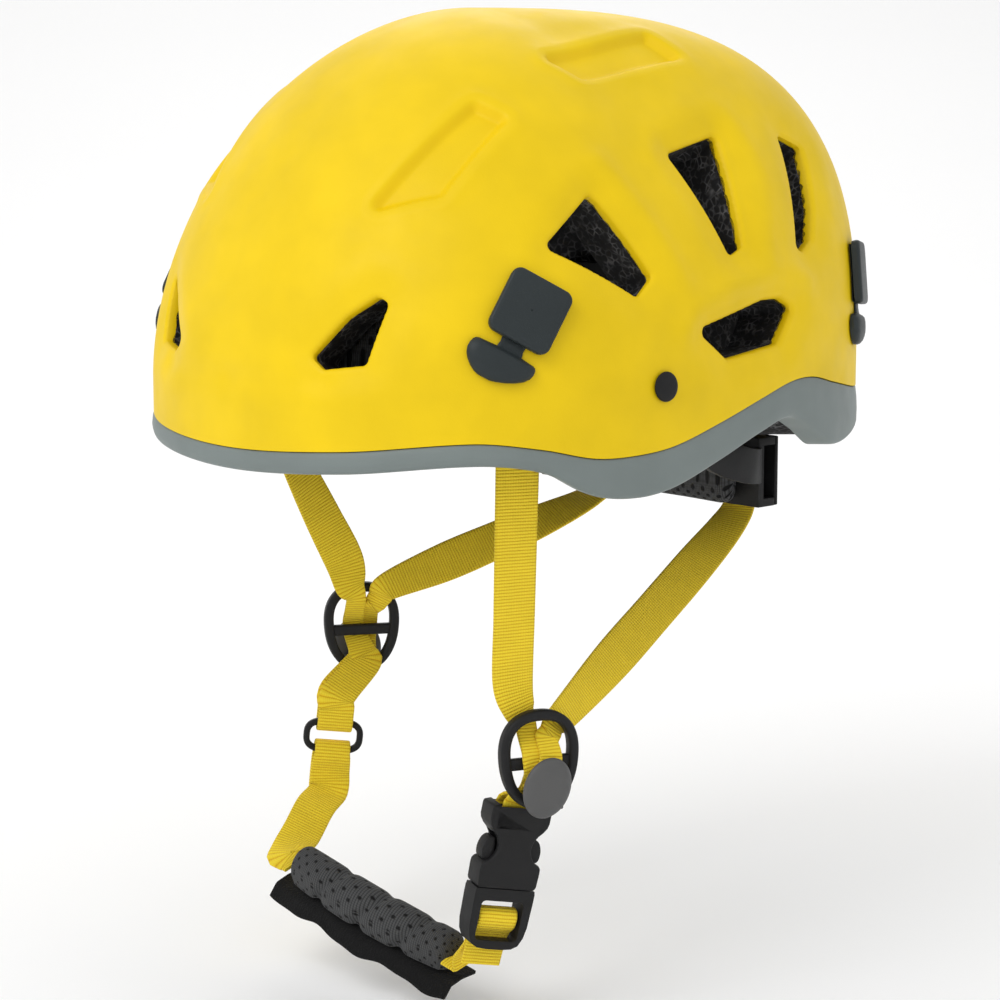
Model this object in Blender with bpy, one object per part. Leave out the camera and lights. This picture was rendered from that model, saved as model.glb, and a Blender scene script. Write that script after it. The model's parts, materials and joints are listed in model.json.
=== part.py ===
"""Climbing helmet: in-moulded hard shell, foam liner, size dial, lamp clips and chin harness.

Metres, +Z up.  The helmet faces -Y and the wearer's left is +X.  The origin is the middle of
the flat underside of the crown pad, where the helmet rests on the head.
"""
from math import atan2, cos, hypot, pi, radians, sin

import bmesh
import bpy
from mathutils import Matrix, Vector

MM = 0.001
GAP = 0.3 * MM                      # air left between pieces that touch

# ---------------------------------------------------------------- driving dimensions
WIDEST_Z = -100 * MM                # height of the widest level of the shell
SHELL_WALL = 2.5 * MM
FLANGE = 10 * MM                    # how far the lower shell turns in under the foam
FLANGE_WALL = 1.6 * MM
WEB_WIDTH = 15 * MM
WEB_THICK = 1.4 * MM
BUCKLE_WIDTH = 23 * MM
BUCKLE_THICK = 9.5 * MM
PRONG_ROOT = (7.4 * MM, -30 * MM)   # where a prong bends, sideways and along the buckle
PINION_PITCH_R = 5 * MM
PINION_TEETH = 8
SEGMENTS = 48                       # steps round the shells, the same so that they nest
PLAN_POWER = 2.25                   # roundness of the plan outline
BULGE_FRONT, BULGE_SIDE, BULGE_BACK = 1.79, 1.93, 3.1

# half sizes of a dome: front, back, side, height above the widest level
SHELL = (111 * MM, 164 * MM, 107 * MM, 130.1 * MM)
LINER_INSIDE = (89 * MM, 126 * MM, 84 * MM, 106.4 * MM)
LINER_GAP = 1.4 * MM                # air to pieces that follow the foam's curved inside

# the lower edge: turn from the front, height of the colour seam and of the edge, over the widest level
RIM = (
    (0, -16.8, -24.2), (25, -14.6, -22.1), (48, -10.9, -18.4), (60, -13.4, -21.0),
    (70, -17.4, -29.8), (79, -17.6, -32.0), (88, -15.8, -30.2), (100, -10.0, -23.3),
    (112, -3.6, -15.8), (121, 0.5, -12.2), (128, 0.4, -17.5), (136, -3.5, -26.0),
    (150, -9.0, -25.0), (180, -11.0, -21.0),
)

# vent corners on the wearer's left, as (turn from the front, angle down from the crown)
VENTS = {
    "front": ((19, 81.5), (21.5, 83.5), (29.5, 82.5), (33, 72), (31, 71), (25.5, 74.5)),
    "side": ((62.5, 62), (74.5, 52.5), (76.5, 54), (86, 67.5), (81.5, 71)),
    "middle": ((102.5, 46), (119, 46.5), (112.5, 65), (108.5, 66)),
    "rear": ((136.5, 52.5), (142, 56.5), (136.5, 64.5), (133, 68.5), (129.5, 69.5), (128, 68.5)),
    "low": ((96, 78), (115, 75), (120, 75.5), (123.5, 77.5), (118, 83), (103.5, 84)),
}

FRONT_CLIP = (58, 73.5, -29)        # turn, angle down, roll of the clip
REAR_CLIP = (149, 77, -12)
PLUG = (85, 87.4)
CLIP_STEM_R = 2.5 * MM
CLIP_PAD_HALF = (11.2 * MM, 11.6 * MM)
CLIP_HINGE_LIFT = 1.2 * MM
PLUG_SHANK_R = 2.8 * MM

DIVIDER_LEFT = Vector((70, -32, -225.5)) * MM
DIVIDER_LEFT_FACING = 70            # the way a divider faces, turned from the front
DIVIDER_RIGHT = Vector((-70, 7.5, -205)) * MM
DIVIDER_RIGHT_FACING = -120
LEVER_AXIS = (-14.9 * MM, 4.0 * MM)  # height and lift of a divider lever's axis over its divider
STRAP_RING = Vector((-66, -10.5, -244.5)) * MM
STRAP_RING_FACING = -125
PAD_RIGHT_END = Vector((-45, -45, -283)) * MM
PAD_LEFT_END = Vector((35, -38, -302)) * MM
CRADLE_Z = -140 * MM
CRADLE_HEIGHT = 26 * MM
CRADLE_HALF = 58 * MM
CRADLE_Y = 92 * MM                  # front face of the cradle's plate
DIAL_R = 16 * MM

# front webbing inside the foam: height in mm and turn
FRONT_RUN = {"l": ((-94.6, 58.5), (-103, 58.5), (-112, 58.5), (-121, 58.5)),
             "r": ((-94.6, 58.5), (-103, 60.5), (-112, 65), (-121, 70))}
# how the rear webbing leaves a divider: place in mm, direction of the width, share of the width
LEAVING = {"l": ((4.6, 8.0, -1.0, (0.32, 0.88, -0.30), 0.56), (7.4, 11.4, -3.4, (0.24, 0.68, -0.65), 0.62),
                 (13.0, 13.8, -6.4, (0.30, 0.42, -0.85), 0.78)),
           "r": ((-4.4, 8.0, -1.2, (-0.46, -0.80, 0.35), 0.56), (-6.6, 12.2, -3.9, (-0.40, -0.66, 0.62), 0.62),
                 (-9.8, 16.6, -5.9, (-0.40, -0.50, 0.78), 0.74))}
# the rear webbing's run to the cradle: share of the way, sag in mm, direction of the width
TO_CRADLE = {"l": ((0.25, -0.8, (0.50, 0.24, -0.81)), (0.50, -1.4, (0.58, 0.18, -0.78)),
                   (0.72, -1.6, (0.76, 0.20, -0.60)), (0.92, -1.0, (0.96, 0.20, -0.22))),
             "r": ((0.25, -0.8, (-0.42, -0.26, 0.86)), (0.50, -1.4, (-0.56, -0.02, 0.82)),
                   (0.72, -1.6, (-0.78, 0.15, 0.60)), (0.92, -1.0, (-0.96, 0.22, 0.25)))}

COLOURS = {                         # base colour, roughness
    "shell_yellow": ((0.86, 0.60, 0.01, 1), 0.45),
    "band_grey": ((0.24, 0.28, 0.29, 1), 0.5),
    "foam_black": ((0.02, 0.02, 0.02, 1), 0.9),
    "clip_slate": ((0.05, 0.06, 0.065, 1), 0.6),
    "buckle_black": ((0.03, 0.03, 0.032, 1), 0.5),
    "webbing_yellow": ((0.80, 0.50, 0.02, 1), 0.85),
    "pad_grey": ((0.09, 0.09, 0.09, 1), 0.95),
    "lining_black": ((0.012, 0.012, 0.012, 1), 0.95),
    "cradle_black": ((0.03, 0.03, 0.03, 1), 0.55),
}


# ---------------------------------------------------------------- shape of the head form
def inset(dome, depth):
    """The same dome, smaller by a wall's depth all round."""
    return tuple(half - depth for half in dome)


def plan_radius(dome, turn):
    """Distance from the crown axis to the wall at the widest level; turn is in radians."""
    front, back, side, _ = dome
    length = front if cos(turn) > 0 else back
    across = abs(cos(turn) / length) ** PLAN_POWER + abs(sin(turn) / side) ** PLAN_POWER
    return across ** (-1 / PLAN_POWER)


def bulge(turn):
    """Exponent of the side profile: a lean forehead, round sides and a full back."""
    end = BULGE_FRONT if cos(turn) > 0 else BULGE_BACK
    return BULGE_SIDE + (end - BULGE_SIDE) * cos(turn) ** 2


def at_turn(radius, turn, z):
    return Vector((radius * sin(turn), -radius * cos(turn), z))


def dome_point(dome, turn, fall):
    """Point on a dome; fall is the angle down from the crown, at most a right angle."""
    n = bulge(turn)
    reach = (sin(fall) / plan_radius(dome, turn)) ** n + (max(cos(fall), 0) / dome[3]) ** n
    reach = reach ** (-1 / n)
    return at_turn(reach * sin(fall), turn, WIDEST_Z + reach * cos(fall))


def wall_radius(dome, turn, z):
    """Distance from the crown axis to the wall at a height; the wall is upright below the widest."""
    radius = plan_radius(dome, turn)
    rise = (z - WIDEST_Z) / dome[3]
    if rise <= 0:
        return radius
    n = bulge(turn)
    return radius * max(1 - rise ** n, 0) ** (1 / n)


def rim_height(turn, column):
    """Smooth height of the seam (column 1) or of the edge (column 2) at a turn in radians."""
    degrees = abs((turn * 180 / pi + 180) % 360 - 180)
    knots = [(-row[0], row[column]) for row in RIM[2:0:-1]]
    knots += [(row[0], row[column]) for row in RIM]
    knots += [(360 - row[0], row[column]) for row in RIM[-2:-4:-1]]
    last = next(i for i in range(3, len(knots) - 1) if degrees <= knots[i][0])
    (a0, h0), (a1, h1), (a2, h2), (a3, h3) = knots[last - 2:last + 2]
    span = a2 - a1
    s = (degrees - a1) / span
    m1 = (h2 - h0) / (a2 - a0) * span
    m2 = (h3 - h1) / (a3 - a1) * span
    height = (2 * s**3 - 3 * s**2 + 1) * h1 + (s**3 - 2 * s**2 + s) * m1
    height += (3 * s**2 - 2 * s**3) * h2 + (s**3 - s**2) * m2
    return WIDEST_Z + height * MM


def seat(turn_degrees, fall_degrees, roll_degrees=0, dome=SHELL):
    """Frame standing on a dome: x across, y up the wall, z outwards."""
    turn, fall = radians(turn_degrees), radians(fall_degrees)
    here = dome_point(dome, turn, fall)
    step = radians(0.5)
    across = dome_point(dome, turn + step, fall) - dome_point(dome, turn - step, fall)
    upward = dome_point(dome, turn, fall - step) - dome_point(dome, turn, fall + step)
    out = across.cross(upward).normalized()
    across.normalize()
    frame = Matrix((across, out.cross(across), out)).transposed().to_4x4()
    return Matrix.Translation(here) @ frame @ Matrix.Rotation(radians(roll_degrees), 4, "Z")


def upright(centre, facing_degrees, tilt=(0, 0)):
    """Frame of an upright piece: x to the back, y up, z the way it faces."""
    facing = radians(facing_degrees)
    out = Vector((sin(facing), -cos(facing), 0))
    across = Vector((cos(facing), sin(facing), 0))
    frame = Matrix((across, Vector((0, 0, 1)), out)).transposed().to_4x4()
    lean = Matrix.Rotation(radians(tilt[0]), 4, "Z") @ Matrix.Rotation(radians(tilt[1]), 4, "X")
    return Matrix.Translation(centre) @ frame @ lean


# ---------------------------------------------------------------- building blocks
def material(name):
    made = bpy.data.materials.get(name)
    if made is None:
        colour, roughness = COLOURS[name]
        made = bpy.data.materials.new(name)
        made.use_nodes = True
        shader = made.node_tree.nodes["Principled BSDF"]
        shader.inputs["Base Color"].default_value = colour
        shader.inputs["Roughness"].default_value = roughness
        made.diffuse_color = colour
    return made


def piece(name, verts, faces, finish, smooth=True):
    """A named object from points and faces, with its faces turned outwards."""
    mesh = bpy.data.meshes.new(name)
    mesh.from_pydata([tuple(v) for v in verts], [], faces)
    bm = bmesh.new()
    bm.from_mesh(mesh)
    bmesh.ops.recalc_face_normals(bm, faces=bm.faces)
    if bm.calc_volume(signed=True) < 0:
        bmesh.ops.reverse_faces(bm, faces=bm.faces)
    bm.to_mesh(mesh)
    bm.free()
    obj = bpy.data.objects.new(name, mesh)
    bpy.context.scene.collection.objects.link(obj)
    mesh.materials.append(material(finish))
    if smooth:
        mesh.shade_smooth()
        mesh.set_sharp_from_angle(angle=radians(35))
    return obj


def skin(rings, closed=True):
    """Faces between rings of equally many points; each ring goes all the way round."""
    count = len(rings[0])
    faces = []
    for row in range(len(rings) - 1):
        for k in range(count if closed else count - 1):
            a, b = row * count + k, row * count + (k + 1) % count
            faces.append((a, b, b + count, a + count))
    return faces


def loft(name, rings, finish, smooth=True, loop=False):
    """Solid through rings of points, capped at its ends or closed on itself."""
    count = len(rings[0])
    verts = [point for ring in rings for point in ring]
    if loop:
        faces = skin(list(rings) + [rings[0]])
        faces = [tuple(i % len(verts) for i in face) for face in faces]
    else:
        faces = skin(rings)
        faces += [tuple(range(count)), tuple(len(verts) - count + k for k in range(count))]
    return piece(name, verts, faces, finish, smooth)


def rounded_outline(half_width, half_height, radius, per_corner=4):
    """Counter-clockwise rounded rectangle, as (x, y) pairs."""
    points = []
    for corner, (sx, sy) in enumerate(((1, 1), (-1, 1), (-1, -1), (1, -1))):
        for k in range(per_corner):
            angle = (corner + k / (per_corner - 1)) * pi / 2
            points.append((sx * (half_width - radius) + radius * cos(angle),
                           sy * (half_height - radius) + radius * sin(angle)))
    return points


def oval_outline(half_width, half_height, count=20, power=2.0, drop=0.0):
    """Oval or egg; drop widens its lower half."""
    points = []
    for k in range(count):
        angle = 2 * pi * k / count
        x = half_width * abs(cos(angle)) ** (2 / power) * (1 if cos(angle) > 0 else -1)
        y = half_height * abs(sin(angle)) ** (2 / power) * (1 if sin(angle) > 0 else -1)
        points.append((x * (1 - drop * y / half_height), y))
    return points


def block(name, outline, low, high, frame, finish, chamfer=0.0):
    """Outline extruded along the frame's z from low to high, with chamfered edges."""
    cx = sum(x for x, _ in outline) / len(outline)
    cy = sum(y for _, y in outline) / len(outline)
    width = max(abs(x - cx) for x, _ in outline)
    shrink = 1 - chamfer / width
    levels = [(low, 1.0), (high, 1.0)]
    if chamfer:
        levels = [(low, shrink), (low + chamfer, 1.0), (high - chamfer, 1.0), (high, shrink)]
    rings = [[frame @ Vector((cx + (x - cx) * s, cy + (y - cy) * s, z)) for x, y in outline]
             for z, s in levels]
    return loft(name, rings, finish)


def turned(name, profile, frame, finish, count=24):
    """Turned solid from (radius, height) pairs along the frame's z."""
    rings = [[frame @ Vector((r * cos(2 * pi * k / count), r * sin(2 * pi * k / count), z))
              for k in range(count)] for r, z in profile]
    return loft(name, rings, finish)


def slab(low, high, frame=Matrix.Identity(4)):
    """Corner rings of a box between two corners of a frame."""
    (x0, y0, z0), (x1, y1, z1) = low, high
    return [[frame @ Vector((x, y, z)) for x, y in ((x0, y0), (x1, y0), (x1, y1), (x0, y1))]
            for z in (z0, z1)]


def box(name, low, high, finish, frame=Matrix.Identity(4)):
    return loft(name, slab(low, high, frame), finish, smooth=False)


def bore_rings(radius, frame, heights, count=16):
    """Rings of a round bore along the frame's z."""
    angles = [2 * pi * k / count for k in range(count)]
    return [[frame @ Vector((radius * cos(a), radius * sin(a), z)) for a in angles] for z in heights]


def cutter(rings, label):
    """A guide solid that only cuts its neighbours."""
    obj = loft("cut_" + label, rings, "lining_black", smooth=False)
    obj.hide_render = True
    obj.display_type = "WIRE"
    return obj


def combine(obj, others, operation):
    """Boolean with each of the others; a united piece is used up, a cutter stays a guide."""
    for other in others:
        step = obj.modifiers.new(operation.lower(), "BOOLEAN")
        step.operation = operation
        step.object = other
        if operation == "UNION":
            other.hide_render = True
            other.display_type = "WIRE"


def on_axis(name, point, pieces):
    """Empty on a joint's axis that carries the pieces which move with the joint."""
    axis = bpy.data.objects.new(name, None)
    axis.location = point
    bpy.context.scene.collection.objects.link(axis)
    for moving in pieces:
        moving.parent = axis
        moving.matrix_parent_inverse = Matrix.Translation(-Vector(point))


def spline(points, per_span=3):
    """Smooth curve through the points, with a few steps in each span."""
    padded = [2 * points[0] - points[1]] + list(points) + [2 * points[-1] - points[-2]]
    curve = []
    for k in range(1, len(padded) - 2):
        p0, p1, p2, p3 = padded[k - 1:k + 3]
        for j in range(per_span):
            s = j / per_span
            curve.append(0.5 * (2 * p1 + (p2 - p0) * s + (2 * p0 - 5 * p1 + 4 * p2 - p3) * s**2
                                + (3 * p1 - p0 - 3 * p2 + p3) * s**3))
    return curve + [points[-1]]


def ribbon(name, stations, finish, width=WEB_WIDTH, thick=WEB_THICK, per_span=3):
    """Flat webbing through stations of (point, direction of its width, share of its width)."""
    stations = [station if len(station) == 3 else (*station, 1.0) for station in stations]
    widths = [Vector(w).normalized() for _, w, _ in stations]
    for k in range(1, len(widths)):
        if widths[k].dot(widths[k - 1]) < 0:
            widths[k] = -widths[k]
    path = spline([Vector(p) for p, _, _ in stations], per_span)
    sides = spline(widths, per_span)
    shares = spline([Vector((share, 0, 0)) for _, _, share in stations], per_span)
    rings = []
    for k, here in enumerate(path):
        along = (path[min(k + 1, len(path) - 1)] - path[max(k - 1, 0)]).normalized()
        side = (sides[k] - along * sides[k].dot(along)).normalized() * width / 2 * shares[k].x
        face = along.cross(side).normalized() * thick / 2
        rings.append([here - side - face, here + side - face, here + side + face,
                      here - side + face])
    return loft(name, rings, finish)


def wall_strip(name, finish, turns, heights, depth_low, depth_high, dome=LINER_INSIDE, rows=2):
    """Strip that follows the inside of a dome between two turns, heights and depths."""
    rings = []
    for turn in turns:
        low, high = heights
        levels = [low + (high - low) * k / rows for k in range(rows + 1)]
        outer = [at_turn(wall_radius(dome, turn, z) - depth_low, turn, z) for z in levels]
        inner = [at_turn(wall_radius(dome, turn, z) - depth_high, turn, z) for z in levels]
        rings.append(outer + inner[::-1])
    return loft(name, rings, finish)


def sweep_degrees(start, end, count):
    return [radians(start + (end - start) * k / count) for k in range(count + 1)]


# ---------------------------------------------------------------- shell, lower shell, foam
def domed_wall(name, outside, inside, outer_foot, inner_foot, finish, rows=8):
    """Closed domed wall: outer skin from the crown to its foot, then the inner skin back up."""
    verts = [at_turn(0, 0, WIDEST_Z + outside[3])]
    rings = []
    falls = [pi / 2 * k / rows for k in range(1, rows + 1)]
    turns = [2 * pi * k / SEGMENTS for k in range(SEGMENTS)]
    for fall in falls:
        rings.append([dome_point(outside, turn, fall) for turn in turns])
    rings[-1] = [at_turn(wall_radius(outside, t, WIDEST_Z + 1 * MM), t, WIDEST_Z + 1 * MM)
                 for t in turns]
    rings.append([at_turn(wall_radius(outside, t, outer_foot(t)), t, outer_foot(t)) for t in turns])
    rings.append([at_turn(wall_radius(inside, t, inner_foot(t)), t, inner_foot(t)) for t in turns])
    rings.append([at_turn(wall_radius(inside, t, WIDEST_Z + 1 * MM), t, WIDEST_Z + 1 * MM)
                  for t in turns])
    for fall in falls[-2::-1]:
        rings.append([dome_point(inside, turn, fall) for turn in turns])
    for ring in rings:
        verts += ring
    verts.append(at_turn(0, 0, WIDEST_Z + inside[3]))
    faces = []
    for index, (a, b, c, d) in enumerate(skin(rings)):
        # both skins are split along the same diagonals, so that neighbours nest
        inner = index // SEGMENTS > rows
        halves = ((a, b, d), (b, c, d)) if inner else ((a, b, c), (a, c, d))
        faces += [tuple(1 + i for i in half) for half in halves]
    last = len(verts) - 1
    foot = last - SEGMENTS
    for k in range(SEGMENTS):
        faces.append((0, 1 + k, 1 + (k + 1) % SEGMENTS))
        faces.append((last, foot + k, foot + (k + 1) % SEGMENTS))
    return piece(name, verts, faces, finish)


def vent_cutters():
    """Prisms through the shell and the foam, square to the wall in the middle of each vent."""
    cutters = []
    for label, corners in VENTS.items():
        for side, sign in (("l", 1), ("r", -1)):
            turn = sign * sum(c[0] for c in corners) / len(corners)
            fall = sum(c[1] for c in corners) / len(corners)
            out = seat(turn, fall).col[2].to_3d()
            mouth = [dome_point(SHELL, radians(sign * t), radians(f)) for t, f in corners]
            rings = [[p + out * lift for p in mouth] for lift in (8 * MM, -52 * MM)]
            cutters.append(cutter(rings, "vent_%s_%s" % (label, side)))
    return cutters


def stem_cutters():
    """Round holes for the clips' stems and the side plugs."""
    cutters = []
    for side, sign in (("l", 1), ("r", -1)):
        for label, place, radius, depth in (
                ("front_stem", FRONT_CLIP[:2], CLIP_STEM_R, 9 * MM),
                ("rear_stem", REAR_CLIP[:2], CLIP_STEM_R, 9 * MM),
                ("plug", PLUG, PLUG_SHANK_R, 40 * MM)):
            frame = seat(sign * place[0], place[1])
            bore = bore_rings(radius + GAP, frame, (4 * MM, -depth))
            cutters.append(cutter(bore, "%s_%s" % (label, side)))
    return cutters


def make_shells():
    vents, stems = vent_cutters(), stem_cutters()

    def above_seam(turn):
        return rim_height(turn, 1) + GAP / 2

    def above_flange(turn):
        return rim_height(turn, 2) + FLANGE_WALL + 2 * GAP

    outer = domed_wall("outer_shell", SHELL, inset(SHELL, SHELL_WALL), above_seam, above_seam,
                       "shell_yellow")
    combine(outer, vents + stems, "DIFFERENCE")
    foam = domed_wall("foam_liner", inset(SHELL, SHELL_WALL + GAP), LINER_INSIDE, above_flange,
                      above_flange, "foam_black")
    combine(foam, vents + stems, "DIFFERENCE")

    sections = []
    for k in range(SEGMENTS):
        turn = 2 * pi * k / SEGMENTS
        seam, edge = rim_height(turn, 1) - GAP / 2, rim_height(turn, 2)
        profile = ((0, seam), (0, edge + 2.4 * MM), (0.8 * MM, edge + 0.7 * MM), (2.4 * MM, edge),
                   (FLANGE, edge), (FLANGE, edge + FLANGE_WALL), (SHELL_WALL, edge + FLANGE_WALL),
                   (SHELL_WALL, seam))
        sections.append([at_turn(wall_radius(SHELL, turn, z) - depth, turn, z)
                         for depth, z in profile])
    loft("lower_shell", sections, "band_grey", loop=True)


# ---------------------------------------------------------------- lamp clips and side plugs
def over_shell(frame, u, v, lift):
    """Point on the shell under (u, v) of a seat, raised by lift."""
    flat = frame @ Vector((u, v, 0))
    spot = flat - Vector((0, 0, WIDEST_Z))
    turn = atan2(spot.x, -spot.y)
    fall = min(atan2(hypot(spot.x, spot.y), spot.z), pi / 2)
    if fall == pi / 2:
        return at_turn(plan_radius(inset(SHELL, -lift), turn), turn, flat.z)
    return dome_point(inset(SHELL, -lift), turn, fall)


def make_clip(end, side, place, sign):
    """A slate pad that hinges off the shell at its top edge, over a base with a half-moon foot."""
    turn, fall, roll = place
    frame = seat(sign * turn, fall, sign * roll)
    # base plate, neck and half-moon foot: (height on the wall, left edge, right edge, thickness)
    stations = (
        (10.6, -8.5, 8.5, 0.5), (0, -9, 9, 0.5), (-10.8, -9, 9, 0.5), (-11.2, -4.4, 4.4, 0.5),
        (-12.4, -4.4, 4.4, 0.5), (-15.2, -4.4, 4.4, 1.2), (-15.4, -11.5, 9.6, 1.6),
        (-16.4, -12.6, 10.4, 3.0), (-19.4, -13.4, 10.2, 3.3), (-23.0, -12.0, 7.0, 3.2),
        (-25.6, -8.5, 1.0, 2.6), (-26.4, -6.5, -1.0, 1.5))
    columns = 5
    rings = []
    for v, left, right, thick in stations:
        low, high = [], []
        for k in range(columns):
            u = sign * (left + (right - left) * k / (columns - 1)) * MM
            crest = 1.0 if 0 < k < columns - 1 else 0.72
            low.append(over_shell(frame, u, v * MM, 0.35 * MM))
            high.append(over_shell(frame, u, v * MM, (0.35 + thick * crest) * MM))
        rings.append(low + high[::-1])
    base = loft("clip_base_%s_%s" % (end, side), rings, "clip_slate")
    stem = turned("stem_%s_%s" % (end, side), ((CLIP_STEM_R, -6.5 * MM), (CLIP_STEM_R, 0.6 * MM)),
                  frame, "clip_slate", 16)
    combine(base, [stem], "UNION")

    outline = rounded_outline(CLIP_PAD_HALF[0], CLIP_PAD_HALF[1], 3.2 * MM, 5)
    rings = []
    for scale, lift in ((0.02, 1.2), (0.55, 1.2), (1.0, 1.25)):
        rings.append([over_shell(frame, x * scale, y * scale, lift * MM) for x, y in outline])
    for scale, height in ((1.0, 3.0), (0.97, 3.5), (0.90, 3.8)):
        rings.append([frame @ Vector((x * scale, y * scale, height * MM)) for x, y in outline])
    pad = loft("clip_pad_%s_%s" % (end, side), rings, "clip_slate")
    hinge = frame @ Vector((0, CLIP_PAD_HALF[1], CLIP_HINGE_LIFT))
    on_axis("clip_hinge_%s_%s" % (end, side), hinge, [pad])


def make_plug(side, sign):
    """Round plug on the shell whose shank runs through to the headband's rivet."""
    frame = seat(sign * PLUG[0], PLUG[1])
    reach = wall_radius(SHELL, radians(PLUG[0]), WIDEST_Z) \
        - wall_radius(LINER_INSIDE, radians(PLUG[0]), WIDEST_Z)
    turned("side_plug_" + side,
           ((PLUG_SHANK_R, -reach - 1.5 * MM), (PLUG_SHANK_R, 0.45 * MM), (4.6 * MM, 0.45 * MM),
            (5 * MM, 0.9 * MM), (4.7 * MM, 1.6 * MM)), frame, "clip_slate")
    turned("temple_rivet_" + side,
           ((6 * MM, -reach - 6.0 * MM), (6 * MM, -reach - 4.8 * MM), (PLUG_SHANK_R, -reach - 4.5 * MM),
            (PLUG_SHANK_R, -reach - 1.8 * MM)), frame, "buckle_black")
    return frame, reach


# ---------------------------------------------------------------- fit system and pads
def make_headband():
    """Thin strip round the brow whose straight ends run back inside the cradle's arms."""
    depth, thick = 4.4 * MM, 1.2 * MM
    brow = [at_turn(wall_radius(LINER_INSIDE, turn, WIDEST_Z) - depth, turn, 0)
            for turn in sweep_degrees(-96, 96, 24)]
    tail = [Vector(spot) * MM for spot in ((75.0, 20, 0), (71.5, 32, 0), (70.6, 44, 0), (70.6, 58, 0))]
    path = [Vector((-spot.x, spot.y, 0)) for spot in tail[::-1]] + brow + tail
    middle = Vector((0, 0, -112.5 * MM))
    rings = []
    for k, here in enumerate(path):
        along = (path[min(k + 1, len(path) - 1)] - path[max(k - 1, 0)]).normalized()
        inward = Vector((-along.y, along.x, 0)) * thick
        edge = min(k, len(path) - 1 - k) / 3
        half = Vector((0, 0, (5.5 + 3.5 * min(edge, 1)) * MM))
        outer, inner = here + middle, here + middle + inward
        rings.append([outer - half, outer + half, inner + half, inner - half])
    band = loft("headband", rings, "cradle_black")
    holes = []
    for side, sign in (("l", 1), ("r", -1)):
        frame = seat(sign * PLUG[0], PLUG[1])
        bore = bore_rings(PLUG_SHANK_R + GAP, frame, (-15 * MM, -36 * MM))
        holes.append(cutter(bore, "band_hole_" + side))
    combine(band, holes, "DIFFERENCE")


def make_pads():
    wall_strip("front_pad", "pad_grey", sweep_degrees(-48, 48, 16), (-120 * MM, -70 * MM),
               6.0 * MM, 11.4 * MM, rows=3)
    for side, sign in (("l", 1), ("r", -1)):
        wall_strip("side_pad_" + side, "pad_grey", sweep_degrees(sign * 67, sign * 79, 4),
                   (-97 * MM, -74 * MM), LINER_GAP, 6.5 * MM)
    # crown pad: follows the foam above and is flat in the middle below
    rings_top, rings_low = [], []
    count, thick = 24, 5 * MM
    for reach in (12, 20, 30, 38):
        top, low = [], []
        for k in range(count):
            turn = 2 * pi * k / count
            n = bulge(turn)
            drop = LINER_INSIDE[3] * (1 - (1 - (reach * MM / plan_radius(LINER_INSIDE, turn)) ** n)
                                      ** (1 / n))
            roof = WIDEST_Z + LINER_INSIDE[3] - LINER_GAP - drop
            top.append(at_turn(reach * MM, turn, roof))
            low.append(at_turn(reach * MM, turn, 0 if reach == 12 else roof - thick + 0.8 * MM))
        rings_top.append(top)
        rings_low.append(low)
    loft("crown_pad", rings_top + rings_low[::-1], "pad_grey")


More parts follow.
